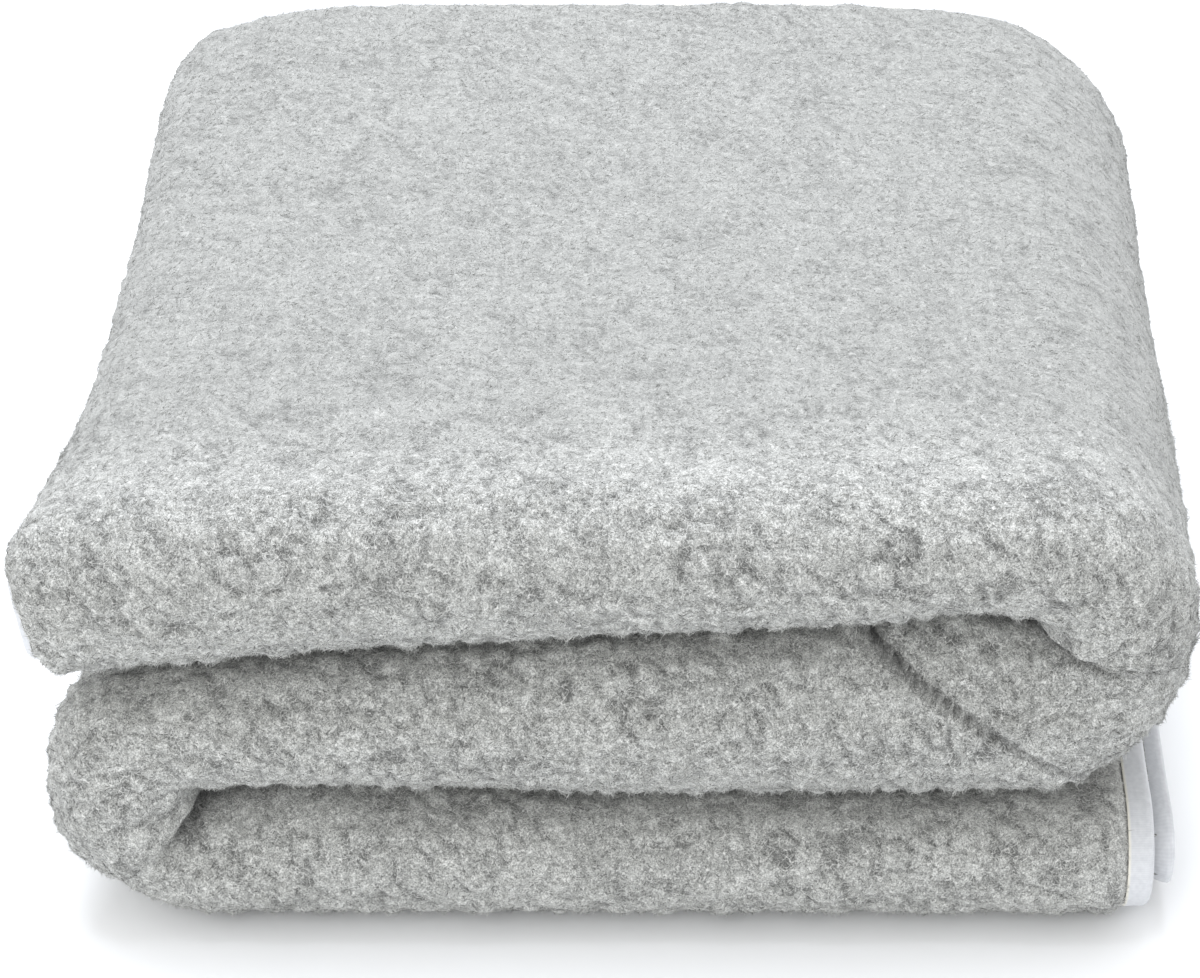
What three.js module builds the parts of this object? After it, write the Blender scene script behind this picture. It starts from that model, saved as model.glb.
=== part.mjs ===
import * as THREE from "three";

// A double-sided wool pile blanket with a tape binding, folded in four along its length,
// then in three across, lying on a flat surface.
// Millimetres. +X is to the right, +Y to the back and +Z up.

// The blanket laid out flat, and its thickness with the pile on both faces
const SHEET_WIDTH = 1420;
const SHEET_LENGTH = 2000;
const PILE_THICKNESS = 16.8;

// The folded stack: air between two layers, and between two bundles of four layers
const BUNDLES = 3;
const LAYER_GAP = 1.6;
const BUNDLE_GAP = 3;
const LEFT_OVERHANG = 3;
const RIGHT_OVERHANG = 14;

// The tape that binds the edges, folded round the pressed margin of the cloth
const TAPE_WIDTH = 11.5;
const TAPE_WALL = 1;
const PRESSED_THICKNESS = 4.4;
const SEWN_GAP = 0.4;
const PILE_RISE = 7;

// The top layer curls down over the top bundle's left end, past the layers below it
const CURL_ANGLE = THREE.MathUtils.degToRad(78);
const CURL_RADIUS = 14;
const CURL_RECESS = 14;

// The inner layers stick out and spread at the lower bundle's right end
const INNER_REACH = 10;
const INNER_SPREAD = 8.3;
const SPREAD_LENGTH = 30;
const SPREAD_BEND = 16.5;

const COLOURS = { pile: 0xc9cbca, tape: 0xe9ebee };

// Sizes that follow from the ones above
const LAYER_PITCH = PILE_THICKNESS + LAYER_GAP;
const INNER_RADIUS = LAYER_PITCH / 2;
const OUTER_RADIUS = 3 * INNER_RADIUS;
const HALF_BUNDLE = OUTER_RADIUS + PILE_THICKNESS / 2;
const TURN_RADIUS = HALF_BUNDLE + BUNDLE_GAP / 2;
const TURN_REACH = TURN_RADIUS + HALF_BUNDLE;
const TURN_LENGTH = Math.PI * TURN_RADIUS;
const BUNDLE_PITCH = 2 * TURN_RADIUS;
const STACK_HEIGHT = BUNDLES * BUNDLE_PITCH - BUNDLE_GAP;
const BACK_FOLD_REACH = INNER_RADIUS + PILE_THICKNESS / 2;
const TAPE_THICKNESS = PRESSED_THICKNESS + 2 * (SEWN_GAP + TAPE_WALL);
const SLOT_THICKNESS = PRESSED_THICKNESS + 2 * SEWN_GAP;
const EDGE_INSET = TAPE_WALL + SEWN_GAP;
const TAPE_END = TAPE_WIDTH + SEWN_GAP;
const CURL_LENGTH = TAPE_END + CURL_RADIUS * CURL_ANGLE;

// The even stack's width and depth, from the lengths of cloth in its runs and turns
const WIDTH = (SHEET_WIDTH - 2 * TURN_LENGTH + 4 * TURN_REACH + 2 * LEFT_OVERHANG + RIGHT_OVERHANG) / 3;
const FOLD_LENGTHS = Math.PI * (OUTER_RADIUS + 2 * INNER_RADIUS);
const DEPTH = (SHEET_LENGTH - FOLD_LENGTHS + 2 * BACK_FOLD_REACH) / 4 + HALF_BUNDLE;
const FRONT_CENTRE = HALF_BUNDLE - DEPTH / 2;
const BACK_CENTRE = DEPTH / 2 - BACK_FOLD_REACH;
const LAYER_RUN = DEPTH / 2 - FRONT_CENTRE;
const LEFT_TURN_X = LEFT_OVERHANG + TURN_REACH - WIDTH / 2;
const RIGHT_TURN_X = WIDTH / 2 - TURN_REACH;
const TOP_RUN = RIGHT_TURN_X + WIDTH / 2;
const MIDDLE_RUN = RIGHT_TURN_X - LEFT_TURN_X;
const LOWER_RUN = WIDTH / 2 - RIGHT_OVERHANG - LEFT_TURN_X;
const PATH_LENGTH = TOP_RUN + MIDDLE_RUN + LOWER_RUN + 2 * TURN_LENGTH;

// Heights at which the bundles part and end, from the left of the stack to the right,
// and the top's height along its back edge
const HEIGHTS = [
  { x: -254, lower: 64, upper: 119, top: 203, backTop: 202 },
  { x: -190, lower: 65, upper: 126, top: 215, backTop: 218 },
  { x: -130, lower: 67, upper: 133, top: 219, backTop: 221 },
  { x: 0, lower: 61, upper: 144, top: 221, backTop: 221 },
  { x: 110, lower: 61, upper: 151, top: 222, backTop: 220 },
  { x: 155, lower: 61, upper: 157, top: 222, backTop: 217 },
  { x: 190, lower: 61, upper: 151, top: 222, backTop: 213 },
  { x: 254, lower: 62, upper: 148, top: 221, backTop: 205 },
];

// How far the left and right sides have moved to the right, from the front to the back
const SIDES = [
  { y: -254, left: -2, right: 3 },
  { y: -225, left: -1.5, right: 4 },
  { y: -190, left: 6, right: 5 },
  { y: -120, left: 17, right: 8 },
  { y: 40, left: 23, right: 14 },
  { y: 150, left: 22, right: 21 },
  { y: 215, left: 24, right: 24 },
  { y: 254, left: 33, right: 11 },
];

// How far the front lies behind its foremost line, and how far the left side bulges out,
// from the floor up. The bulge fades out over a length from the left side.
const FRONTS = [
  { z: 0, back: 1, bulge: -22 },
  { z: 14, back: 0, bulge: -14 },
  { z: 45, back: 0, bulge: -6 },
  { z: 75, back: 2, bulge: -4 },
  { z: 100, back: 3, bulge: 5 },
  { z: 112, back: 3, bulge: 14 },
  { z: 119, back: 4, bulge: 13 },
  { z: 127, back: 4, bulge: 7 },
  { z: 142, back: 3, bulge: 0 },
  { z: 160, back: 2, bulge: -4 },
  { z: 190, back: 0, bulge: -5 },
  { z: 222, back: 0, bulge: -9 },
];
const BULGE_REACH = 150;

// Places where a front edge is pushed in between creases, and how far back they reach. A crease
// runs from one point of the uneven stack's front to another, and its recess is that deep at each.
// The step down is its edge wide, and the recess fades out at a distance from the crease.
const TUCKS = [
  {
    reach: 130,
    creases: [
      { x: 100, z: 153, toX: 165, toZ: 108, recess: 12, toRecess: 2, edge: 12, fade: 65 },
      { x: 242, z: 140, toX: 166, toZ: 157, recess: 3, toRecess: 13, edge: 12, fade: 60 },
      { x: 168, z: 157, toX: 88, toZ: 153, recess: 0, toRecess: 0, edge: 8, fade: 60 },
    ],
  },
  {
    reach: 90,
    creases: [
      { x: -120, z: 73, toX: -170, toZ: 69, recess: 5, toRecess: 9, edge: 12, fade: 60 },
      { x: -170, z: 69, toX: -197, toZ: 46, recess: 4, toRecess: 0, edge: 14, fade: 60 },
      { x: -112, z: 10, toX: -112, toZ: 70, recess: 0, toRecess: 0, edge: 36, fade: 60 },
    ],
  },
];

const { clamp, lerp, smoothstep } = THREE.MathUtils;

// A smooth curve through one column of a table, against the table's first column
function smoothColumn(table, key, column) {
  const places = table.map((row) => row[key]);
  const values = table.map((row) => row[column]);
  const curve = new THREE.CubicInterpolant(places, values, 1);
  return (at) => curve.evaluate(clamp(at, places[0], places.at(-1)))[0];
}

const lowerSlit = smoothColumn(HEIGHTS, "x", "lower");
const upperSlit = smoothColumn(HEIGHTS, "x", "upper");
const topHeight = smoothColumn(HEIGHTS, "x", "top");
const backTopHeight = smoothColumn(HEIGHTS, "x", "backTop");
const leftShift = smoothColumn(SIDES, "y", "left");
const rightShift = smoothColumn(SIDES, "y", "right");
const frontSetback = smoothColumn(FRONTS, "z", "back");
const leftBulge = smoothColumn(FRONTS, "z", "bulge");

// How far a point on the front is pushed back by a tuck: the sum of its creases' recesses, past
// all of its creases
function tuckDepth({ creases }, x, z) {
  let depth = 0;
  let inside = 1;
  for (const crease of creases) {
    const [dx, dz] = [crease.toX - crease.x, crease.toZ - crease.z];
    const length = Math.hypot(dx, dz);
    const run = clamp((dx * (x - crease.x) + dz * (z - crease.z)) / length ** 2, 0, 1);
    const side = (dx * (z - crease.z) - dz * (x - crease.x)) / length;
    depth += lerp(crease.recess, crease.toRecess, run) * (1 - smoothstep(side, crease.edge, crease.fade));
    inside *= smoothstep(side, 0, crease.edge);
  }
  return depth * inside;
}

// A point of the even stack, moved to where the real, uneven stack has it
function settle({ x, y, z }) {
  const levels = [0, BUNDLE_PITCH - BUNDLE_GAP / 2, 2 * BUNDLE_PITCH - BUNDLE_GAP / 2, STACK_HEIGHT];
  const heights = [0, lowerSlit(x), upperSlit(x), topHeight(x)];
  const bundle = z < levels[1] ? 0 : z < levels[2] ? 1 : 2;
  const share = (z - levels[bundle]) / (levels[bundle + 1] - levels[bundle]);
  const droop = (1 - backTopHeight(x) / topHeight(x)) * smoothstep(y, 0, DEPTH / 2) ** 2;
  const height = lerp(heights[bundle], heights[bundle + 1], share) * (1 - droop);
  const bulge = leftBulge(height) * (1 - smoothstep(x + WIDTH / 2, 0, BULGE_REACH));
  const across = x + lerp(leftShift(y), rightShift(y), x / WIDTH + 0.5) - bulge;
  const behind = y + DEPTH / 2;
  const pushed = TUCKS.map((tuck) => tuckDepth(tuck, across, height) * (1 - smoothstep(behind, 0, tuck.reach)));
  const setback = frontSetback(height) * (1 - behind / DEPTH);
  return new THREE.Vector3(across, y + setback + pushed[0] + pushed[1], height);
}

// The middle line of the bundles, a length along it from the top bundle's left end: its point,
// its direction, and the way to the side of the bundle that is uppermost in the top bundle
function bundleLine(length) {
  const topZ = STACK_HEIGHT - HALF_BUNDLE;
  const straight = (x, z, side) => ({
    point: new THREE.Vector3(x, 0, z),
    along: new THREE.Vector3(side, 0, 0),
    up: new THREE.Vector3(0, 0, side),
  });
  const turn = (x, z, angle, side) => {
    const [sin, cos] = [Math.sin(angle), Math.cos(angle)];
    return {
      point: new THREE.Vector3(x + side * TURN_RADIUS * sin, 0, z + TURN_RADIUS * cos),
      along: new THREE.Vector3(side * cos, 0, -sin),
      up: new THREE.Vector3(sin, 0, side * cos),
    };
  };
  let rest = length - TOP_RUN;
  if (rest < 0) return straight(RIGHT_TURN_X + rest, topZ, 1);
  if (rest < TURN_LENGTH) return turn(RIGHT_TURN_X, topZ - TURN_RADIUS, rest / TURN_RADIUS, 1);
  rest -= TURN_LENGTH;
  if (rest < MIDDLE_RUN) return straight(RIGHT_TURN_X - rest, topZ - BUNDLE_PITCH, -1);
  rest -= MIDDLE_RUN;
  if (rest < TURN_LENGTH)
    return turn(LEFT_TURN_X, topZ - BUNDLE_PITCH - TURN_RADIUS, rest / TURN_RADIUS, -1);
  return straight(LEFT_TURN_X + rest - TURN_LENGTH, topZ - 2 * BUNDLE_PITCH, 1);
}

// The parts of a bundle's section, in the order in which the cloth runs through them
const PARTS = { top: 0, frontFold: 1, bottom: 2, backFold: 3, innerBottom: 4, innerFold: 5, innerTop: 6 };

// The middle of the cloth in a bundle's section: how far back and up it is, and the way its outer
// face looks. share is how far through the part it is, and spread how far the inner layers have moved
// towards the outer ones.
function sectionPoint({ part, share }, spread) {
  const inner = INNER_RADIUS + spread;
  const run = (from, to, up, side) => ({ back: lerp(from, to, share), up, face: [0, side] });
  const fold = (centreBack, centreUp, radius, way, turn, side) => {
    const angle = turn > 0 ? Math.PI * share : Math.PI * (1 - share);
    const [back, up] = [way * Math.sin(angle), Math.cos(angle)];
    return { back: centreBack + radius * back, up: centreUp + radius * up, face: [side * back, side * up] };
  };
  switch (part) {
    case PARTS.top:
      return run(DEPTH / 2, FRONT_CENTRE, OUTER_RADIUS, 1);
    case PARTS.frontFold:
      return fold(FRONT_CENTRE, 0, OUTER_RADIUS, -1, 1, 1);
    case PARTS.bottom:
      return run(FRONT_CENTRE, BACK_CENTRE, -OUTER_RADIUS, -1);
    case PARTS.backFold:
      return fold(BACK_CENTRE, -(OUTER_RADIUS + inner) / 2, (OUTER_RADIUS - inner) / 2, 1, -1, 1);
    case PARTS.innerBottom:
      return run(BACK_CENTRE, FRONT_CENTRE, -inner, 1);
    case PARTS.innerFold:
      return fold(FRONT_CENTRE, 0, inner, -1, -1, -1);
    default:
      return run(FRONT_CENTRE, DEPTH / 2, inner, -1);
  }
}

// How much of the curl, and of the inner layers' reach, a place in the section has
const curlShare = ({ part, share }) =>
  part === PARTS.top ? 1 : part === PARTS.frontFold ? 1 - share * share : 0;
const reachShare = ({ part, share }) =>
  part < PARTS.backFold ? 0 : part > PARTS.backFold ? 1 : smoothstep(share, 0, 1);

// How far the inner layers have spread near the right end: a bend, then straight
function innerSpread(inset) {
  const rise = (run) => (run < SPREAD_BEND ? run * run : SPREAD_BEND * (2 * run - SPREAD_BEND));
  return (INNER_SPREAD * rise(SPREAD_LENGTH - Math.min(inset, SPREAD_LENGTH))) / rise(SPREAD_LENGTH);
}

// Where a station across the cloth comes to lie on the bundle's middle line: the length along it,
// how far the cloth has curled towards the bundle's middle, how far it is tilted there, and how far
// its inner layers have spread. A station is an inset from the left or right end, or else a length.
function lieAlong(station, place) {
  const level = { drop: 0, tilt: 0, spread: 0 };
  if (station.from === "right") {
    const end = PATH_LENGTH + INNER_REACH * reachShare(place);
    return { ...level, length: end - station.inset, spread: innerSpread(station.inset) };
  }
  if (station.from !== "left") return { ...level, length: station.length };
  const angle = CURL_ANGLE * curlShare(place);
  const start = CURL_RECESS * (1 - curlShare(place)) + CURL_RADIUS * Math.sin(angle) + TAPE_END * Math.cos(angle);
  const curled = TAPE_END + CURL_RADIUS * angle - station.inset;
  const tilt = clamp(curled / CURL_RADIUS, 0, angle);
  const hanging = Math.max(curled - CURL_RADIUS * angle, 0);
  return {
    length: start - CURL_RADIUS * Math.sin(tilt) - hanging * Math.cos(tilt) - Math.min(curled, 0),
    drop: CURL_RADIUS * (1 - Math.cos(tilt)) + hanging * Math.sin(tilt),
    tilt,
    spread: 0,
  };
}

// The point of the folded blanket at a station across the cloth and a place in the section,
// a distance out from the middle of the cloth towards its outer face
function clothPoint(station, place, out) {
  const { length, drop, tilt, spread } = lieAlong(station, place);
  const { point, along, up } = bundleLine(length);
  const { back, up: rise, face } = sectionPoint(place, spread);
  const moved = out * Math.cos(tilt) - drop;
  return settle(
    point
      .addScaledVector(up, rise + moved * face[1])
      .addScaledVector(along, -out * Math.sin(tilt))
      .setY(back + moved * face[0]),
  );
}

// Half the cloth's thickness at a distance from its nearest edge: pressed in the tape, then full
function halfThickness(inset) {
  const rise = clamp((inset - TAPE_END) / PILE_RISE, 0, 1);
  return lerp(PRESSED_THICKNESS, PILE_THICKNESS, Math.sqrt(rise * (2 - rise))) / 2;
}

// A closed solid between two sheets of points. Both have the same rows and columns.
function solidBetween(rows, columns, outerPoint, innerPoint) {
  const points = [];
  for (const pointAt of [outerPoint, innerPoint])
    for (let row = 0; row < rows; row++)
      for (let column = 0; column < columns; column++) points.push(pointAt(row, column));
  const index = [];
  const quad = (a, b, c, d) => {
    const shorter = points[a].distanceTo(points[c]) <= points[b].distanceTo(points[d]);
    index.push(...(shorter ? [a, b, c, a, c, d] : [a, b, d, b, c, d]));
  };
  const outer = (row, column) => row * columns + column;
  const inner = (row, column) => (rows + row) * columns + column;
  const [lastRow, lastColumn] = [rows - 1, columns - 1];
  for (let row = 0; row < lastRow; row++) {
    for (let column = 0; column < lastColumn; column++) {
      quad(outer(row, column), outer(row + 1, column), outer(row + 1, column + 1), outer(row, column + 1));
      quad(inner(row, column), inner(row, column + 1), inner(row + 1, column + 1), inner(row + 1, column));
    }
    quad(outer(row + 1, 0), outer(row, 0), inner(row, 0), inner(row + 1, 0));
    quad(outer(row, lastColumn), outer(row + 1, lastColumn), inner(row + 1, lastColumn), inner(row, lastColumn));
  }
  for (let column = 0; column < lastColumn; column++) {
    quad(outer(0, column), outer(0, column + 1), inner(0, column + 1), inner(0, column));
    quad(outer(lastRow, column + 1), outer(lastRow, column), inner(lastRow, column), inner(lastRow, column + 1));
  }
  const geometry = new THREE.BufferGeometry().setFromPoints(points);
  geometry.setIndex(index);
  geometry.computeVertexNormals();
  return geometry;
}

// Even steps from one value to another, both included
const steps = (from, to, count) => Array.from({ length: count + 1 }, (_, i) => lerp(from, to, i / count));

// Stations across the cloth, from the top bundle's left end to the lower bundle's right end
const EDGE_INSETS = [EDGE_INSET, TAPE_END, TAPE_END + 0.15 * PILE_RISE, TAPE_END + PILE_RISE];
const LEFT_INSETS = [...EDGE_INSETS, (TAPE_END + PILE_RISE + CURL_LENGTH) / 2, CURL_LENGTH];
const RUN_START = 50;
const TUCK_RUN = 90;
const middleStart = TOP_RUN + TURN_LENGTH;
const middleEnd = middleStart + MIDDLE_RUN;
const lowerStart = middleEnd + TURN_LENGTH;
const RUNS = [
  { to: RUN_START, count: 0 },
  { to: TOP_RUN - TUCK_RUN, count: 6 },
  { to: TOP_RUN, count: 4 },
  { to: middleStart, count: 10 },
  { to: middleStart + TUCK_RUN, count: 4 },
  { to: middleEnd - TUCK_RUN / 2, count: 3 },
  { to: middleEnd, count: 2 },
  { to: lowerStart, count: 8 },
  { to: lowerStart + TUCK_RUN / 2, count: 2 },
  { to: PATH_LENGTH - SPREAD_LENGTH, count: 4 },
];
const runLengths = RUNS.slice(1).flatMap(({ to, count }, i) => steps(RUNS[i].to, to, count).slice(0, -1));
const STATIONS = [
  ...LEFT_INSETS.map((inset) => ({ from: "left", inset })),
  ...[...runLengths, RUNS.at(-1).to].map((length) => ({ length })),
  ...[...EDGE_INSETS].reverse().map((inset) => ({ from: "right", inset })),
];

// Places through the section, from the upper back edge to the inner back edge
const RUN_STEPS = 6;
const sideInsets = [...EDGE_INSETS, ...steps(TAPE_END + PILE_RISE, LAYER_RUN, RUN_STEPS).slice(1, -1)];
const partPlaces = (part, count) => steps(0, 1, count).slice(0, -1).map((share) => ({ part, share }));
const outerEdge = (inset) => ({ part: PARTS.top, share: inset / LAYER_RUN });
const innerEdge = (inset) => ({ part: PARTS.innerTop, share: 1 - inset / LAYER_RUN });
const PLACES = [
  ...sideInsets.map(outerEdge),
  ...partPlaces(PARTS.frontFold, 8),
  ...partPlaces(PARTS.bottom, RUN_STEPS),
  ...partPlaces(PARTS.backFold, 8),
  ...partPlaces(PARTS.innerBottom, RUN_STEPS),
  ...partPlaces(PARTS.innerFold, 5),
  { part: PARTS.innerTop, share: 0 },
  ...[...sideInsets].reverse().map(innerEdge),
];

// The distance of a station and a place from the nearest bound edge
function edgeDistance(station, place) {
  const side =
    place.part === PARTS.top ? place.share : place.part === PARTS.innerTop ? 1 - place.share : 1;
  return Math.min(station.inset ?? SHEET_WIDTH, side * LAYER_RUN);
}

function clothGeometry() {
  const face = (side) => (row, column) => {
    const [station, place] = [STATIONS[column], PLACES[row]];
    return clothPoint(station, place, side * halfThickness(edgeDistance(station, place)));
  };
  return solidBetween(PLACES.length, STATIONS.length, face(1), face(-1));
}

// The tape's profile round an edge, from the upper lip round to the lower one: how far in from
// the edge it is, and how far out from the cloth's middle, outside and inside
const TAPE_PROFILE = [
  { outside: [TAPE_WIDTH, TAPE_THICKNESS / 2], inside: [TAPE_WIDTH, SLOT_THICKNESS / 2] },
  { outside: [0, TAPE_THICKNESS / 2], inside: [TAPE_WALL, SLOT_THICKNESS / 2] },
  { outside: [0, -TAPE_THICKNESS / 2], inside: [TAPE_WALL, -SLOT_THICKNESS / 2] },
  { outside: [TAPE_WIDTH, -TAPE_THICKNESS / 2], inside: [TAPE_WIDTH, -SLOT_THICKNESS / 2] },
];

// The tape over one end of the cloth, which follows the section from edge to edge
function endTapeGeometry(from) {
  const places = [outerEdge(0), ...PLACES.slice(1, -1), innerEdge(0)];
  const profile = from === "right" ? TAPE_PROFILE : [...TAPE_PROFILE].reverse();
  const face = (side) => (row, column) => {
    const [inset, out] = profile[column][side];
    return clothPoint({ from, inset }, places[row], out);
  };
  return solidBetween(places.length, profile.length, face("outside"), face("inside"));
}

// The tape over one side of the cloth, which follows the bundles between the end tapes
function sideTapeGeometry(edge) {
  const stations = STATIONS.slice(1, -1);
  const profile = edge === innerEdge ? TAPE_PROFILE : [...TAPE_PROFILE].reverse();
  const face = (side) => (row, column) => {
    const [inset, out] = profile[row][side];
    return clothPoint(stations[column], edge(inset), out);
  };
  return solidBetween(profile.length, stations.length, face("outside"), face("inside"));
}

function namedMesh(name, geometry, colour, roughness) {
  const material = new THREE.MeshStandardMaterial({ color: colour, roughness, metalness: 0 });
  const mesh = new THREE.Mesh(geometry, material);
  mesh.name = name;
  return mesh;
}

const meshes = [
  namedMesh("pile_cloth", clothGeometry(), COLOURS.pile, 1),
  namedMesh("upper_end_tape", endTapeGeometry("left"), COLOURS.tape, 0.8),
  namedMesh("lower_end_tape", endTapeGeometry("right"), COLOURS.tape, 0.8),
  namedMesh("outer_side_tape", sideTapeGeometry(outerEdge), COLOURS.tape, 0.8),
  namedMesh("inner_side_tape", sideTapeGeometry(innerEdge), COLOURS.tape, 0.8),
];

// The origin is under the middle of the blanket's box
const box = new THREE.Box3();
meshes.forEach((mesh) => box.expandByObject(mesh));
const middle = box.getCenter(new THREE.Vector3());
meshes.forEach((mesh) => mesh.geometry.translate(-middle.x, -middle.y, -box.min.z));

const blanket = new THREE.Group();
blanket.name = "folded_blanket";
blanket.add(...meshes);

export default blanket;
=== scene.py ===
"""A folded double-sided wool pile blanket with a woven tape binding, dressed over its solids."""

import logging
import math
from collections.abc import Callable, Iterable, Sequence
from dataclasses import dataclass, field
from enum import Enum, IntEnum

import bmesh
import bpy
import numpy as np
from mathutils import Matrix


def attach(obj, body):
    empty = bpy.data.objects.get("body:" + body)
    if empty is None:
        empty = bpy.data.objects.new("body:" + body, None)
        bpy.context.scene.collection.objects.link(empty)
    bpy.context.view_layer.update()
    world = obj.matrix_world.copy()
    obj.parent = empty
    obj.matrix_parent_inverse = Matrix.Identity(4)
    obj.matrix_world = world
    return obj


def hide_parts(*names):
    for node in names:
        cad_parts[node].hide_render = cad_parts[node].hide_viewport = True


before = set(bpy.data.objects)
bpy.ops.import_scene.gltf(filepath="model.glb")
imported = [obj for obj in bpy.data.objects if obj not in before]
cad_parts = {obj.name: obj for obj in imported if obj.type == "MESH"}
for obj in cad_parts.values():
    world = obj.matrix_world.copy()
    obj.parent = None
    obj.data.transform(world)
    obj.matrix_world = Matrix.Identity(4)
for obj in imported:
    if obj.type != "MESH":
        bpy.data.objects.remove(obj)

log = logging.getLogger("blanket")
Array = np.ndarray
MM = 0.001
# The least height that a piece keeps over the floor, in millimetres
FLOOR_GAP = 0.2
# A colour mix node's sockets: the colour below, the colour on top, and the result
MIX_BELOW, MIX_ON_TOP, MIX_RESULT = 6, 7, 2


@dataclass(frozen=True)
class StackSizes:
    """The blanket's flat size and the sizes of its folded stack, in millimetres and radians."""

    sheet_width: float = 1420.0
    sheet_length: float = 2000.0
    pile_thickness: float = 16.8
    # Bundles one on the other, layers in each, and the air between two of them
    bundles: int = 3
    layers: int = 4
    layer_gap: float = 1.6
    bundle_gap: float = 3.0
    # How far the top bundle's end lies past the left turn, and the right turn past the lower end
    left_overhang: float = 3.0
    right_overhang: float = 14.0
    # The tape, folded round the pressed margin of the cloth, and how soon the pile rises beside it
    tape_width: float = 11.5
    tape_wall: float = 1.0
    pressed_thickness: float = 4.4
    sewn_gap: float = 0.4
    pile_rise: float = 7.0
    # The top layer's curl down over the left end, past the layers below it, and where it has ended
    curl_angle: float = math.radians(78)
    curl_radius: float = 14.0
    curl_recess: float = 14.0
    curl_end: float = 75.0
    # How far the inner layers stick out at the right end, over what ramp, and how they spread there
    inner_reach: float = 10.0
    reach_ramp: float = 11.0
    inner_spread: float = 8.3
    spread_length: float = 30.0
    spread_bend: float = 16.5
    # How far in from the left side its bulge fades
    bulge_reach: float = 150.0
    # How far behind the front its grooves start to fade, and end
    groove_start: float = 60.0
    groove_end: float = 110.0
    # The middle of the solids' box, which the frame has as its origin
    middle_x: float = 11.082
    middle_y: float = -0.134

    @property
    def inner_radius(self) -> float:
        """Radius of the inner layers' fold, at the middle of the cloth."""
        return (self.pile_thickness + self.layer_gap) / 2

    @property
    def outer_radius(self) -> float:
        """Radius of the outer layers' fold, at the middle of the cloth."""
        return (self.layers - 1) * self.inner_radius

    @property
    def half_bundle(self) -> float:
        """Half a bundle's thickness."""
        return self.outer_radius + self.pile_thickness / 2

    @property
    def turn_radius(self) -> float:
        """Radius of a bundle's turn, at the middle of the bundle."""
        return self.half_bundle + self.bundle_gap / 2

    @property
    def turn_reach(self) -> float:
        """How far a turn reaches out past the straight runs."""
        return self.turn_radius + self.half_bundle

    @property
    def turn_length(self) -> float:
        """Length of a turn, at the middle of the bundle."""
        return math.pi * self.turn_radius

    @property
    def bundle_pitch(self) -> float:
        """Height from one bundle's middle to the next one's."""
        return 2 * self.turn_radius

    @property
    def stack_height(self) -> float:
        """Height of the even stack."""
        return self.bundles * self.bundle_pitch - self.bundle_gap

    @property
    def back_fold_reach(self) -> float:
        """How far the back fold reaches out past the straight layers."""
        return self.inner_radius + self.pile_thickness / 2

    @property
    def tape_thickness(self) -> float:
        """Thickness over both walls of the folded tape."""
        return self.pressed_thickness + 2 * (self.sewn_gap + self.tape_wall)

    @property
    def tape_end(self) -> float:
        """How far in from the edge the pile starts."""
        return self.tape_width + self.sewn_gap

    @property
    def curl_length(self) -> float:
        """Length of cloth in the curled left end."""
        return self.tape_end + self.curl_radius * self.curl_angle

    @property
    def width(self) -> float:
        """Width of the even stack."""
        turns = 4 * self.turn_reach - 2 * self.turn_length
        return (self.sheet_width + turns + 2 * self.left_overhang + self.right_overhang) / self.bundles

    @property
    def depth(self) -> float:
        """Depth of the even stack."""
        folds = math.pi * (self.outer_radius + 2 * self.inner_radius)
        return (self.sheet_length - folds + 2 * self.back_fold_reach) / self.layers + self.half_bundle

    @property
    def front_centre(self) -> float:
        """Where the front folds' middle lies."""
        return self.half_bundle - self.depth / 2

    @property
    def back_centre(self) -> float:
        """Where the back fold's middle lies."""
        return self.depth / 2 - self.back_fold_reach

    @property
    def left_turn_x(self) -> float:
        """Where the left turn starts."""
        return self.left_overhang + self.turn_reach - self.width / 2

    @property
    def right_turn_x(self) -> float:
        """Where the right turn starts."""
        return self.width / 2 - self.turn_reach

    @property
    def top_run(self) -> float:
        """Length of the top bundle up to the right turn."""
        return self.right_turn_x + self.width / 2

    @property
    def middle_start(self) -> float:
        """Length up to the middle bundle's straight run."""
        return self.top_run + self.turn_length

    @property
    def middle_end(self) -> float:
        """Length up to the left turn."""
        return self.middle_start + self.right_turn_x - self.left_turn_x

    @property
    def lower_start(self) -> float:
        """Length up to the lower bundle's straight run."""
        return self.middle_end + self.turn_length

    @property
    def path_length(self) -> float:
        """Length of the bundles' middle line from end to end."""
        return self.lower_start + self.width / 2 - self.right_overhang - self.left_turn_x


# Heights at which the bundles part and end, from the left of the stack to the right, and the
# top's height along its back edge: across, lower slit, upper slit, top, top at the back.
HEIGHTS = np.array([
    (-254, 64, 119, 203, 202),
    (-190, 65, 126, 215, 218),
    (-130, 67, 133, 219, 221),
    (0, 61, 144, 221, 221),
    (110, 61, 151, 222, 220),
    (155, 61, 157, 222, 217),
    (190, 61, 151, 222, 213),
    (254, 62, 148, 221, 205),
])

# How far the sides have moved to the right, from the front to the back: back, left side, right side.
SIDES = np.array([
    (-254, -2, 3),
    (-225, -1.5, 4),
    (-190, 6, 5),
    (-120, 17, 8),
    (40, 23, 14),
    (150, 22, 21),
    (215, 24, 24),
    (254, 33, 11),
])

# How far the front lies behind its foremost line, and how far the left side bulges out, from the
# floor up: height, setback, bulge.
FRONTS = np.array([
    (0, 1, -22),
    (14, 0, -14),
    (45, 0, -6),
    (75, 2, -4),
    (100, 3, 5),
    (112, 3, 14),
    (119, 4, 13),
    (127, 4, 7),
    (142, 3, 0),
    (160, 2, -4),
    (190, 0, -5),
    (222, 0, -9),
])


@dataclass(frozen=True)
class Crease:
    """A line across the front, behind which the cloth lies on the line's left side.

    It goes from a start to an end, each a place across and up. Its recess and the groove along it
    are that deep at each. The step is edge wide, the groove closes at its width, and the recess
    fades out over a distance from the line.
    """

    start: tuple[float, float]
    end: tuple[float, float]
    recess: tuple[float, float] = (0, 0)
    groove: tuple[float, float] = (0, 0)
    edge: float = 4
    width: float = 12
    fade: float = 50


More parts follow.
